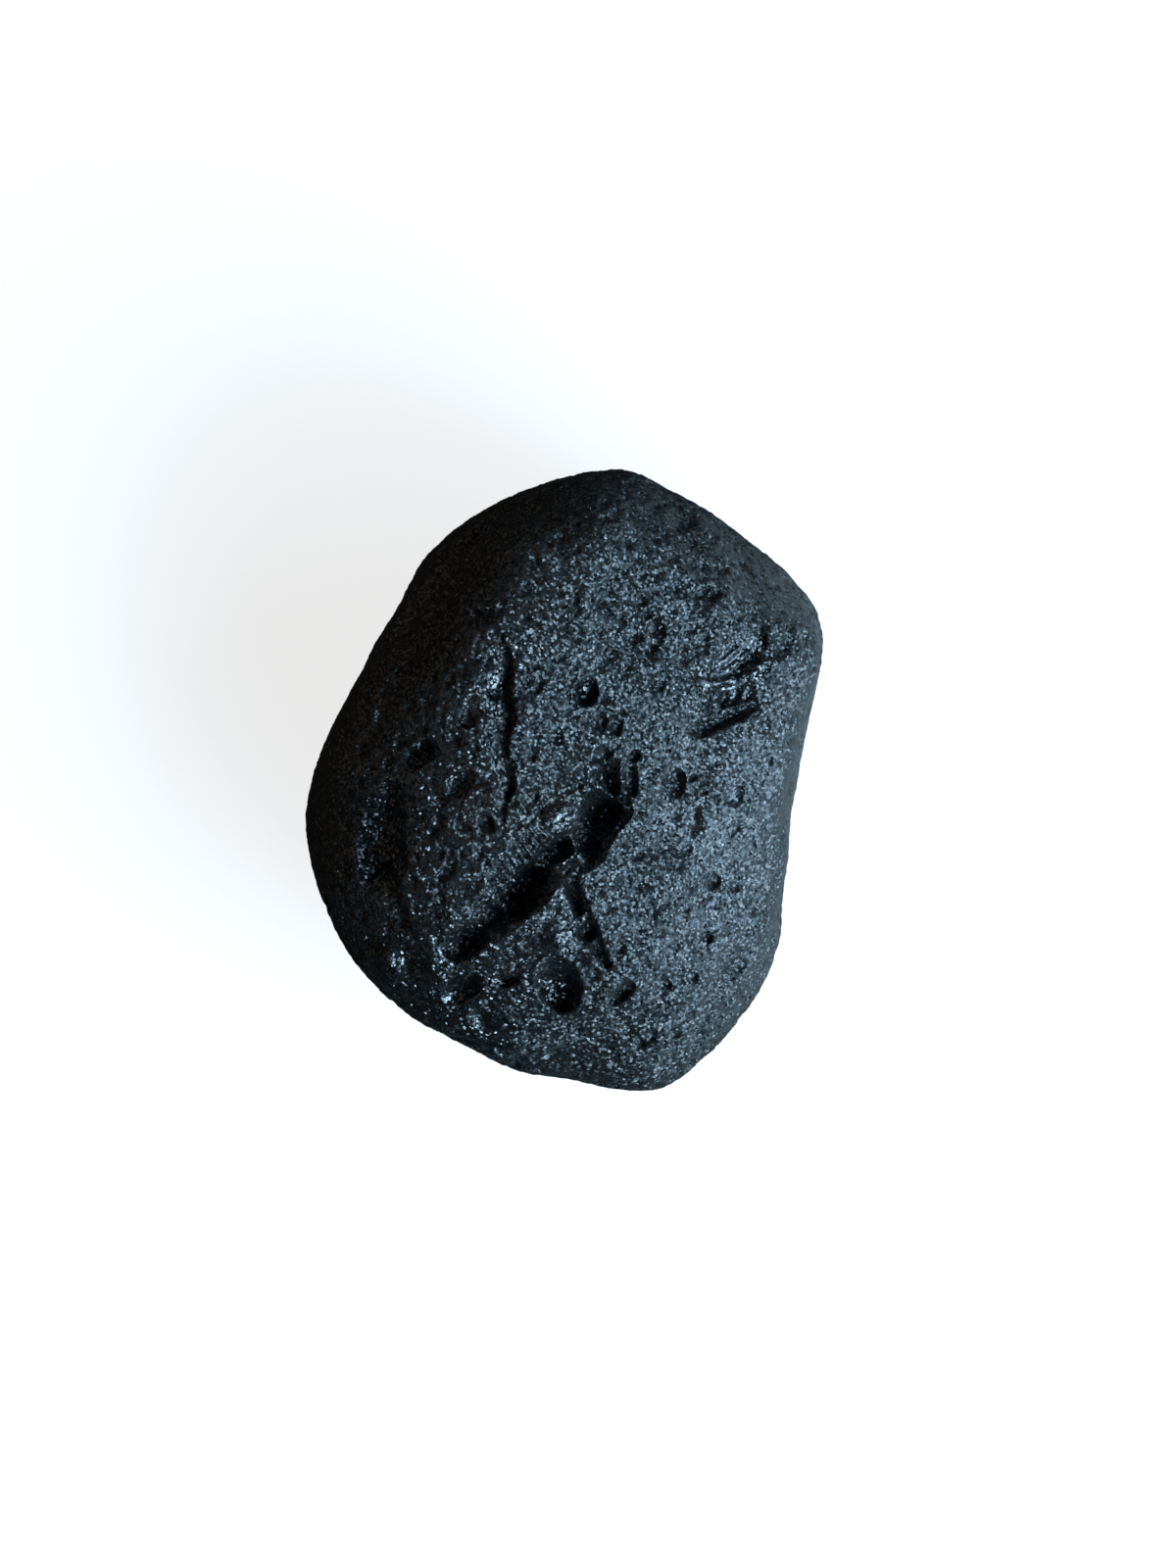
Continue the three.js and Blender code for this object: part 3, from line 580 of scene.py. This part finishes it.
def wandered(points):
    """Points moved a little aside, so that the edges of hollows wander."""
    pace = 2 * math.pi / WANDER_LENGTH
    x, y, z = points.T
    moved_x = x + WANDER * np.sin(pace * (y + 0.3 * x) + 1.1 + 0.4 * z)
    moved_y = y + WANDER * np.sin(pace * (1.1 * x - 0.4 * y) + 2.7 + 0.4 * z)
    return np.stack([moved_x, moved_y, z], axis=1)


def hollow_share(nearness, rim, bed=ROUND_BED):
    """Share of a hollow's depth where its edge is at 1 and its middle at 0."""
    return np.maximum(0, 1 - nearness ** bed) ** rim


def spot_nearness(points, x, y, across, long, turn):
    """How near points are to a long or round spot seen from above: 0 at its middle, 1 at its edge."""
    angle = math.radians(turn)
    aside = points[:, 0] - x
    ahead = points[:, 1] - y
    along = (aside * math.cos(angle) + ahead * math.sin(angle)) / (0.5 * long)
    athwart = (ahead * math.cos(angle) - aside * math.sin(angle)) / (0.5 * across)
    return np.hypot(along, athwart)


def spot_share(points, x, y, across, long, turn, rim):
    """Share of a long or round spot of the upper face, seen from above."""
    return hollow_share(spot_nearness(points, x, y, across, long, turn), rim)


def deepest_spot(points, spots):
    """Depth at each point of the deepest of many spots, so that a ridge stays between two of them."""
    deepest = np.zeros(len(points))
    for x, y, across, long, turn, depth, rim in spots:
        deepest = np.maximum(deepest, depth * spot_share(points, x, y, across, long, turn, rim))
    return deepest


def furrow_depths(points, furrow, left, right):
    """Depth of one furrow at each point, where the furrow has its own places in space."""
    deepest = np.zeros(len(points))
    for (start, start_width, start_depth), (end, end_width, end_depth) in zip(furrow, furrow[1:]):
        run = end - start
        offset = points - start
        share = np.clip(offset @ run / (run @ run), 0, 1)
        on_left = run[0] * offset[:, 1] - run[1] * offset[:, 0] > 0
        reach, bed, rim = (np.where(on_left, a, b) for a, b in zip(left, right))
        half_width = 0.5 * reach * (start_width + (end_width - start_width) * share)
        depth = start_depth + (end_depth - start_depth) * share
        distance = np.linalg.norm(offset - share[:, None] * run, axis=1)
        deepest = np.maximum(deepest, depth * hollow_share(distance / half_width, rim, bed))
    return deepest


def rib_grooves():
    """The grooves between the ribs of the gutter's bank, side by side along it."""
    shares = [index / (RIB_COUNT - 1) for index in range(RIB_COUNT)]
    places = [
        tuple(first + (last - first) * share for first, last in zip(RIB_FIRST, RIB_LAST)) for share in shares
    ]
    return [(x, y, *RIB_GROOVE) for x, y in places]


def top_relief(points):
    """How far the upper face is sunk at points placed as they are seen from above."""
    places = wandered(points) * (1, 1, 0)
    deepest = np.zeros(len(points))
    for furrow, left, right in FURROWS + FINE_FURROWS:
        route = [(np.array([x, y, 0.0]), width, depth) for x, y, width, depth in furrow]
        deepest = np.maximum(deepest, furrow_depths(places, route, left, right))
    sunk = deepest + deepest_spot(places, HOLLOWS) + deepest_spot(places, FINE_HOLLOWS + rib_grooves())
    sunk += deepest_spot(points, BUBBLES)
    for x, y, across, long, turn, _, _ in BUBBLES:
        beyond = spot_nearness(points, x, y, across, long, turn) - 1 - LIP_WIDTH
        sunk -= LIP_HEIGHT * np.exp(-(beyond / LIP_WIDTH) ** 2)
    for x, y, across, height in KNOBS:
        sunk -= height * spot_share(places, x, y, across, across, 0, PLAIN_RIM)
    for x, y, across, long, turn, height in FINE_KNOBS:
        sunk -= height * spot_share(places, x, y, across, long, turn, SOFT_RIM)
    return sunk


def flank_pits():
    """The pits of the flanks and the belly: each one's place, size across, depth and rim."""
    shares = random_shares(FLANK_PIT_SEED)
    fall = (FLANK_PIT_HIGHEST - FLANK_PIT_LOWEST) / FLANK_PIT_COUNT
    pits = []
    for index in range(FLANK_PIT_COUNT):
        rise = FLANK_PIT_HIGHEST - fall * (index + 0.5)
        turn = index * GOLDEN_TURN + FLANK_PIT_STRAYING * (next(shares) - 0.5) * 2 * math.pi
        level = math.sqrt(1 - rise * rise)
        look = np.array([[level * math.cos(turn), level * math.sin(turn), rise]])
        across = FLANK_PIT_SMALLEST + (FLANK_PIT_LARGEST - FLANK_PIT_SMALLEST) * next(shares) ** 2
        rim = SOFT_RIM if next(shares) < FLANK_PIT_SOFT_SHARE else PLAIN_RIM
        pits.append((body_points(look)[0], across, FLANK_PIT_DEPTH_SHARE * across, rim))
    return pits


def flank_relief(points):
    """How far the flanks and the belly are sunk at each point of the body."""
    places = wandered(points)
    furrowed = np.zeros(len(points))
    for furrow in FLANK_FURROWS:
        looks = np.array([look_along(azimuth, elevation) for azimuth, elevation, _, _ in furrow])
        route = [(place, width, depth) for place, (_, _, width, depth) in zip(body_points(looks), furrow)]
        furrowed = np.maximum(furrowed, furrow_depths(places, route, SOFT_BANK, SOFT_BANK))
    pitted = np.zeros(len(points))
    for place, across, depth, rim in flank_pits():
        nearness = np.linalg.norm(places - place, axis=1) / (0.5 * across)
        pitted = np.maximum(pitted, depth * hollow_share(nearness, rim))
    return np.hypot(furrowed, pitted)


def smooth_step(value, low, high):
    """0 below low, 1 above high and a smooth curve between."""
    share = np.clip((value - low) / (high - low), 0, 1)
    return share * share * (3 - 2 * share)


def skin_points(looks):
    """Points of the stone's skin in millimetres, their places seen from above and the upper share."""
    points = body_points(looks)
    seen = seen_from_above(points)
    normals = body_normals(looks, points)
    upper = smooth_step(looks[:, 2], 0, UPPER_FACE_START)
    away = smooth_step(np.abs(looks[:, 2]), 0, UPPER_FACE_START)
    skin = points + normals * (away * swell_heights(points) - flank_relief(points))[:, None]
    skin[:, 2] -= upper * top_relief(seen)
    skin[:, 2] = np.maximum(skin[:, 2], -WIDEST_LEVEL)
    return skin, seen, upper


def twenty_sided_ball():
    """Corners and faces of an icosahedron."""
    long = (1 + math.sqrt(5)) / 2
    corners = []
    for a in (-1, 1):
        for b in (-long, long):
            corners += [(a, b, 0), (0, a, b), (b, 0, a)]
    corners = unit(np.array(corners, float))
    reach = min(np.linalg.norm(corners[0] - corner) for corner in corners[1:]) * NEIGHBOUR_REACH
    faces = []
    for i in range(12):
        for j in range(i + 1, 12):
            for k in range(j + 1, 12):
                sides = [corners[i] - corners[j], corners[j] - corners[k], corners[k] - corners[i]]
                if max(np.linalg.norm(side) for side in sides) < reach:
                    facing = np.cross(corners[j] - corners[i], corners[k] - corners[i])
                    outward = np.dot(facing, corners[i]) > 0
                    faces.append((i, j, k) if outward else (i, k, j))
    return corners, faces


def ball_of_triangles(divisions):
    """A closed ball: each face of the icosahedron is cut into a lattice, and shared points are merged."""
    corners, faces = twenty_sided_ball()
    rows = [(i, j) for i in range(divisions + 1) for j in range(divisions + 1 - i)]
    number = {row: index for index, row in enumerate(rows)}
    weights = np.array([(divisions - i - j, i, j) for i, j in rows]) / divisions
    cells = []
    for i, j in rows:
        if i + j < divisions:
            cells.append((number[i, j], number[i + 1, j], number[i, j + 1]))
        if i + j < divisions - 1:
            cells.append((number[i + 1, j], number[i + 1, j + 1], number[i, j + 1]))
    cells = np.array(cells)
    points = np.concatenate([weights @ corners[list(face)] for face in faces])
    triangles = np.concatenate([cells + index * len(rows) for index in range(len(faces))])
    _, kept, merged = np.unique(np.round(points, 6), axis=0, return_index=True, return_inverse=True)
    return unit(points[kept]), merged.reshape(-1)[triangles]


def crowded_up(directions):
    """Directions moved up the ball, which crowds the points at the top."""
    rise = (directions[:, 2] + UPPER_CROWDING) / (1 + UPPER_CROWDING * directions[:, 2])
    level = np.maximum(np.hypot(directions[:, 0], directions[:, 1]), 1e-9)
    spread = np.sqrt(np.maximum(0, 1 - rise ** 2)) / level
    return np.stack([directions[:, 0] * spread, directions[:, 1] * spread, rise], axis=1)


def zone_shares(points, upper, zones):
    """Strength of a kind of skin at each point, from zones seen from above."""
    strongest = np.zeros(len(points))
    for x, y, across, long, turn, strength in zones:
        strongest = np.maximum(strongest, strength * spot_share(points, x, y, across, long, turn, PLAIN_RIM))
    return strongest * upper


def set_point_values(mesh, name, values):
    """Stores one number for each point of a mesh under a name."""
    attribute = mesh.attributes.new(name, "FLOAT", "POINT")
    attribute.data.foreach_set("value", values.astype(np.float32))


def fit_to_solid(skin):
    """The skin in metres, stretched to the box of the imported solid."""
    low, high = (np.array(corner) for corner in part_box("tektite"))
    own_low = skin.min(axis=0)
    own_high = skin.max(axis=0)
    scale = (high - low) / (own_high - own_low)
    return low + (skin - own_low) * scale


def make_bare_skin():
    """The stone's main forms as one closed mesh, with the kinds of skin marked on its points."""
    directions, triangles = ball_of_triangles(SKIN_DIVISIONS)
    skin, seen, upper = skin_points(crowded_up(directions))
    mesh = bpy.data.meshes.new("tektite_skin")
    mesh.from_pydata(fit_to_solid(skin), [], triangles)
    for name, zones in (("cupped", CUPPED_ZONES), ("glassy", GLASSY_ZONES), ("quiet", QUIET_ZONES)):
        set_point_values(mesh, name, zone_shares(seen, upper, zones))
    set_point_values(mesh, "resting", (skin[:, 2] < RESTING_BAND - WIDEST_LEVEL).astype(float))
    mesh.update()
    piece = bpy.data.objects.new("tektite_skin", mesh)
    bpy.context.scene.collection.objects.link(piece)
    return piece


class Tree:
    """Short ways to add and join nodes of one tree."""

    def __init__(self, tree):
        self.tree = tree

    def node(self, kind, **settings):
        """A new node of a kind."""
        made = self.tree.nodes.new(kind)
        for name, value in settings.items():
            setattr(made, name, value)
        return made

    def join(self, value, socket):
        """Feeds a socket from another node or with a plain value."""
        if isinstance(value, bpy.types.NodeSocket):
            self.tree.links.new(value, socket)
        else:
            socket.default_value = value

    def maths(self, operation, *values):
        """The outcome of a sum, a product or the like."""
        made = self.node("ShaderNodeMath", operation=operation)
        for value, socket in zip(values, made.inputs):
            self.join(value, socket)
        return made.outputs[0]

    def vector(self, operation, first, second=None, scale=None):
        """The outcome of a sum, a product or the like of places or directions."""
        made = self.node("ShaderNodeVectorMath", operation=operation)
        self.join(first, made.inputs[0])
        if second is not None:
            self.join(second, made.inputs[1])
        if scale is not None:
            self.join(scale, made.inputs["Scale"])
        return made.outputs["Value"] if operation == "DOT_PRODUCT" else made.outputs["Vector"]

    def ramp(self, value, low, high, to_low=0.0, to_high=1.0):
        """A value carried smoothly from one range to another."""
        made = self.node("ShaderNodeMapRange", interpolation_type="SMOOTHSTEP")
        for given, name in ((value, "Value"), (low, "From Min"), (high, "From Max")):
            self.join(given, made.inputs[name])
        self.join(to_low, made.inputs["To Min"])
        self.join(to_high, made.inputs["To Max"])
        return made.outputs["Result"]

    def noise(self, place, scale, detail=2.0, roughness=0.5):
        """Soft random patches."""
        made = self.node("ShaderNodeTexNoise")
        self.join(place, made.inputs["Vector"])
        self.join(scale, made.inputs["Scale"])
        made.inputs["Detail"].default_value = detail
        made.inputs["Roughness"].default_value = roughness
        return made


def add_etched_pits(tree, place, size, share, depth):
    """Scattered round pits: one may sit in each cell of a size, as deep as its own random width."""
    cells = tree.node("ShaderNodeTexVoronoi", feature="F1")
    tree.join(place, cells.inputs["Vector"])
    tree.join(tree.maths("DIVIDE", 1.0, size), cells.inputs["Scale"])
    chance = tree.node("ShaderNodeSeparateXYZ")
    tree.join(cells.outputs["Color"], chance.inputs[0])
    width = tree.ramp(chance.outputs[0], tree.maths("SUBTRACT", 1.0, share), 1.0, NARROWEST_PIT, WIDEST_PIT)
    nearness = tree.maths("DIVIDE", cells.outputs["Distance"], width)
    bowl = tree.maths("MAXIMUM", tree.maths("SUBTRACT", 1.0, tree.maths("POWER", nearness, 2.0)), 0.0)
    present = tree.maths("GREATER_THAN", chance.outputs[0], tree.maths("SUBTRACT", 1.0, share))
    return tree.maths("MULTIPLY", tree.maths("MULTIPLY", bowl, present), tree.maths("MULTIPLY", width, depth))


def add_warped_place(tree, place):
    """Places moved a little aside, so that the etched pits aren't quite round."""
    stray = tree.noise(place, STRAY_PACE, 2.0)
    own_way = tree.vector("SUBTRACT", stray.outputs["Color"], MIDDLE_GREY)
    return tree.vector("ADD", place, tree.vector("SCALE", own_way, scale=STRAY_REACH))


def add_skin_masks(tree):
    """The kinds of skin that are marked on the mesh's points."""
    masks = {}
    for name in ("cupped", "glassy", "quiet", "resting"):
        named = tree.node("GeometryNodeInputNamedAttribute", data_type="FLOAT")
        named.inputs["Name"].default_value = name
        masks[name] = named.outputs[0]
    return masks


def add_etched_height(tree, given, place):
    """Height of the etched skin in millimetres: cups and pits are sunk, bumps and grain are raised."""
    warped = add_warped_place(tree, place)
    masks = add_skin_masks(tree)
    loud = tree.maths("SUBTRACT", 1.0, tree.maths("MULTIPLY", masks["quiet"], QUIET_CALM))
    rough = tree.maths("SUBTRACT", 1.0, tree.maths("MULTIPLY", masks["glassy"], GLASSY_CALM))
    lifted = tree.maths("SUBTRACT", 1.0, masks["resting"])
    lively = tree.maths("MULTIPLY", rough, loud)

    cupping = tree.maths("ADD", PLAIN_CUPPING, tree.maths("MULTIPLY", masks["cupped"], 1 - PLAIN_CUPPING))
    cups = add_etched_pits(tree, warped, given["Cup Size"], CUP_CROWDING, given["Cup Depth"])
    cups = tree.maths("MULTIPLY", tree.maths("MULTIPLY", cups, cupping), lively)
    pits = add_etched_pits(tree, warped, given["Pit Size"], PIT_CROWDING, given["Pit Depth"])
    pits = tree.maths("MULTIPLY", pits, lively)
    beyond = tree.vector("ADD", warped, BUMP_SHIFT)
    bumps = add_etched_pits(tree, beyond, given["Bump Size"], BUMP_CROWDING, given["Bump Height"])
    bumps = tree.maths("MULTIPLY", tree.maths("MULTIPLY", bumps, masks["cupped"]), lively)
    grain_pace = tree.maths("DIVIDE", 1.0, given["Grain Size"])
    grain = tree.noise(place, grain_pace, GRAIN_DETAIL, GRAIN_HARSHNESS)
    grain_height = tree.maths("SUBTRACT", grain.outputs[0], 0.5)
    grain_height = tree.maths("MULTIPLY", grain_height, given["Grain Height"])
    grain_height = tree.maths("MULTIPLY", grain_height, lively)

    raised = tree.maths("ADD", grain_height, bumps)
    height = tree.maths("SUBTRACT", raised, tree.maths("ADD", cups, pits))
    return tree.maths("MULTIPLY", height, lifted)


def make_etching():
    """Geometry Nodes that etch the skin, sized in millimetres by named inputs."""
    group = bpy.data.node_groups.new("etched_skin", "GeometryNodeTree")
    group.interface.new_socket("Geometry", in_out="INPUT", socket_type="NodeSocketGeometry")
    group.interface.new_socket("Geometry", in_out="OUTPUT", socket_type="NodeSocketGeometry")
    for name in ETCHING:
        group.interface.new_socket(name, in_out="INPUT", socket_type="NodeSocketFloat")
    group.interface.new_socket("Material", in_out="INPUT", socket_type="NodeSocketMaterial")
    tree = Tree(group)
    given = tree.node("NodeGroupInput").outputs
    position = tree.node("GeometryNodeInputPosition").outputs[0]
    place = tree.vector("SCALE", position, scale=1 / MM)
    shift = tree.node("ShaderNodeCombineXYZ")
    tree.join(given["Seed"], shift.inputs[0])
    place = tree.vector("ADD", place, shift.outputs[0])

    height = tree.maths("MULTIPLY", add_etched_height(tree, given, place), MM)
    normal = tree.node("GeometryNodeInputNormal").outputs[0]
    moved = tree.node("GeometryNodeSetPosition")
    tree.join(given["Geometry"], moved.inputs["Geometry"])
    tree.join(tree.vector("SCALE", normal, scale=height), moved.inputs["Offset"])
    smooth = tree.node("GeometryNodeSetShadeSmooth")
    tree.join(moved.outputs[0], smooth.inputs["Geometry"])
    whole = tree.node("GeometryNodeRealizeInstances")
    tree.join(smooth.outputs[0], whole.inputs[0])
    coated = tree.node("GeometryNodeSetMaterial")
    tree.join(whole.outputs[0], coated.inputs["Geometry"])
    tree.join(given["Material"], coated.inputs["Material"])
    tree.join(coated.outputs[0], tree.node("NodeGroupOutput").inputs[0])
    return group


def etch(piece, material):
    """Runs the etching on the skin and keeps the result as the piece's own plain mesh."""
    group = make_etching()
    modifier = piece.modifiers.new("etching", "NODES")
    modifier.node_group = group
    sockets = {item.name: item.identifier for item in group.interface.items_tree if item.in_out == "INPUT"}
    for name, value in ETCHING.items():
        modifier[sockets[name]] = value
    modifier[sockets["Material"]] = material
    evaluated = piece.evaluated_get(bpy.context.evaluated_depsgraph_get())
    mesh = bpy.data.meshes.new_from_object(evaluated)
    piece.modifiers.clear()
    piece.data = mesh
    mesh.name = "tektite_skin"


def add_tipped_cells(tree, place, size):
    """Cells side by side: a random colour for each, and the rise across it, tipped its own way."""
    cells = tree.node("ShaderNodeTexVoronoi", feature="F1")
    tree.join(place, cells.inputs["Vector"])
    cells.inputs["Scale"].default_value = 1 / size
    offset = tree.vector("SUBTRACT", place, cells.outputs["Position"])
    own_way = tree.vector("SUBTRACT", cells.outputs["Color"], MIDDLE_GREY)
    return cells.outputs["Color"], tree.vector("DOT_PRODUCT", offset, own_way)


def add_facets(tree, place, size, tilt):
    """Height of small facets side by side, from their size and steepest tilt."""
    _, rise = add_tipped_cells(tree, place, size)
    return tree.maths("MULTIPLY", rise, 2 * tilt)


def add_glints(tree, place, size, tilt, share):
    """Scattered smooth facets, some of them tipped far: where they are, and their height."""
    colour, rise = add_tipped_cells(tree, place, size)
    chance = tree.node("ShaderNodeSeparateXYZ")
    tree.join(colour, chance.inputs[0])
    present = tree.maths("LESS_THAN", chance.outputs[0], share)
    steepness = tree.maths("MULTIPLY", tree.maths("MULTIPLY", chance.outputs[2], 2 * tilt), present)
    return present, tree.maths("MULTIPLY", rise, steepness)


def add_glass_tint(tree, place):
    """The glass's colour, blue-black in some patches and brown-black in others."""
    cloud = tree.noise(place, TINT_PACE, 3.0).outputs[0]
    tint = tree.node("ShaderNodeMix", data_type="RGBA")
    tree.join(tree.ramp(cloud, *TINT_EDGES), tint.inputs[0])
    tree.join(BLUE_BLACK, tint.inputs[6])
    tree.join(BROWN_BLACK, tint.inputs[7])
    return tint.outputs[2]


def add_glass_roughness(tree, place, glassy, glints):
    """The glass's roughness, less in the glassy zones and on the glints."""
    patch = tree.noise(place, ROUGHNESS_PACE, 3.0).outputs[0]
    roughness = tree.ramp(patch, *ROUGHNESS_EDGES, LEAST_ROUGHNESS, MOST_ROUGHNESS)
    roughness = tree.maths("SUBTRACT", roughness, tree.maths("MULTIPLY", glassy, GLASSY_SMOOTHING))
    roughness = tree.maths("SUBTRACT", roughness, tree.maths("MULTIPLY", glints, GLINT_SMOOTHING))
    return tree.maths("MAXIMUM", roughness, SMOOTHEST)


def make_black_glass():
    """Opaque black glass with a fine grain of facets and scattered glints."""
    material = bpy.data.materials.new("black_glass")
    material.use_nodes = True
    tree = Tree(material.node_tree)
    shader = material.node_tree.nodes["Principled BSDF"]
    shader.inputs["IOR"].default_value = REFRACTION
    place = tree.vector("SCALE", tree.node("ShaderNodeTexCoord").outputs["Object"], scale=1 / MM)
    glassy = tree.node("ShaderNodeAttribute", attribute_name="glassy").outputs["Fac"]
    quiet = tree.node("ShaderNodeAttribute", attribute_name="quiet").outputs["Fac"]
    rough = tree.maths("SUBTRACT", 1.0, tree.maths("MULTIPLY", glassy, FACET_GLASSY_CALM))
    loud = tree.maths("SUBTRACT", 1.0, tree.maths("MULTIPLY", quiet, FACET_QUIET_CALM))
    lively = tree.maths("MULTIPLY", rough, loud)
    glint_share = tree.maths("ADD", GLINT_SHARE, tree.maths("MULTIPLY", glassy, GLASSY_GLINT_SHARE))
    glints, glint_relief = add_glints(tree, place, *GLINTS, glint_share)
    tree.join(add_glass_tint(tree, place), shader.inputs["Base Color"])
    tree.join(add_glass_roughness(tree, place, glassy, glints), shader.inputs["Roughness"])

    facets = (add_facets(tree, place, *sizes) for sizes in (FINE_FACETS, BROAD_FACETS))
    relief = tree.maths("MULTIPLY", tree.maths("ADD", *facets), lively)
    relief = tree.maths("ADD", relief, glint_relief)
    bump = tree.node("ShaderNodeBump")
    bump.inputs["Strength"].default_value = 1.0
    bump.inputs["Distance"].default_value = MM
    tree.join(relief, bump.inputs["Height"])
    tree.join(bump.outputs[0], shader.inputs["Normal"])
    return material


def make_card():
    """Plain card under the stone, which glows so that it stays white but for a soft shadow."""
    material = bpy.data.materials.new("white_card")
    material.use_nodes = True
    shader = material.node_tree.nodes["Principled BSDF"]
    shader.inputs["Base Color"].default_value = CARD_COLOUR
    shader.inputs["Roughness"].default_value = CARD_ROUGHNESS
    shader.inputs["Specular IOR Level"].default_value = 0.0
    shader.inputs["Emission Color"].default_value = (1, 1, 1, 1)
    shader.inputs["Emission Strength"].default_value = CARD_GLOW
    bpy.ops.mesh.primitive_plane_add(size=CARD_SIZE, location=(0, 0, 0))
    card = bpy.context.object
    card.name = "card"
    card.data.materials.append(material)
    card.visible_glossy = False
    card.visible_diffuse = False


def make_camera():
    """A camera straight above, with a long lens, framed as the photograph is."""
    data = bpy.data.cameras.new("camera")
    data.lens = LENS
    data.sensor_width = SENSOR
    data.clip_end = FARTHEST_SEEN
    camera = bpy.data.objects.new("camera", data)
    distance = LENS / SENSOR * PHOTO_HEIGHT * PIXEL
    aside = (PHOTO_MIDDLE[0] - STONE_MIDDLE[0]) * PIXEL
    ahead = (STONE_MIDDLE[1] - PHOTO_MIDDLE[1]) * PIXEL
    camera.location = (aside, ahead, distance + WIDEST_LEVEL * MM)
    bpy.context.scene.collection.objects.link(camera)
    bpy.context.scene.camera = camera


def add_light(name, width, height, radiance, colour):
    """A soft rectangular light."""
    data = bpy.data.lights.new(name, "AREA")
    data.shape = "RECTANGLE"
    data.size = width
    data.size_y = height
    data.energy = radiance * math.pi * width * height
    data.color = colour
    light = bpy.data.objects.new(name, data)
    bpy.context.scene.collection.objects.link(light)
    return light


def add_window(name, azimuth, elevation, distance, width, height, radiance, colour):
    """A light that looks at the stone from a direction."""
    light = add_light(name, width, height, radiance, colour)
    look = Vector(look_along(azimuth, elevation))
    light.location = look * distance
    light.rotation_euler = look.to_track_quat("Z", "Y").to_euler()


def add_table_glow():
    """The light that the card at the right sends up to the stone's right-hand edge."""
    glow = add_light("table_glow", *TABLE_GLOW)
    glow.location = TABLE_GLOW_PLACE
    glow.rotation_euler = (math.pi, 0, 0)
    glow.visible_camera = False


def make_light():
    """Cool daylight with a brighter patch from the right, a faint warm return from the left, a dim room."""
    for name, values in WINDOWS.items():
        add_window(name, *values)
    add_table_glow()
    world = bpy.data.worlds.new("room")
    world.use_nodes = True
    tree = Tree(world.node_tree)
    background = world.node_tree.nodes["Background"]
    background.inputs["Color"].default_value = ROOM_COLOUR
    seen = tree.node("ShaderNodeLightPath").outputs["Is Camera Ray"]
    strength = tree.maths("ADD", ROOM_LIGHT, tree.maths("MULTIPLY", seen, 1 - ROOM_LIGHT))
    tree.join(strength, background.inputs["Strength"])
    bpy.context.scene.world = world
    bpy.context.scene.view_settings.view_transform = "Standard"


make_camera()
make_light()
make_card()
stone = make_bare_skin()
etch(stone, make_black_glass())
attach(stone, "root")
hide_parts("tektite")
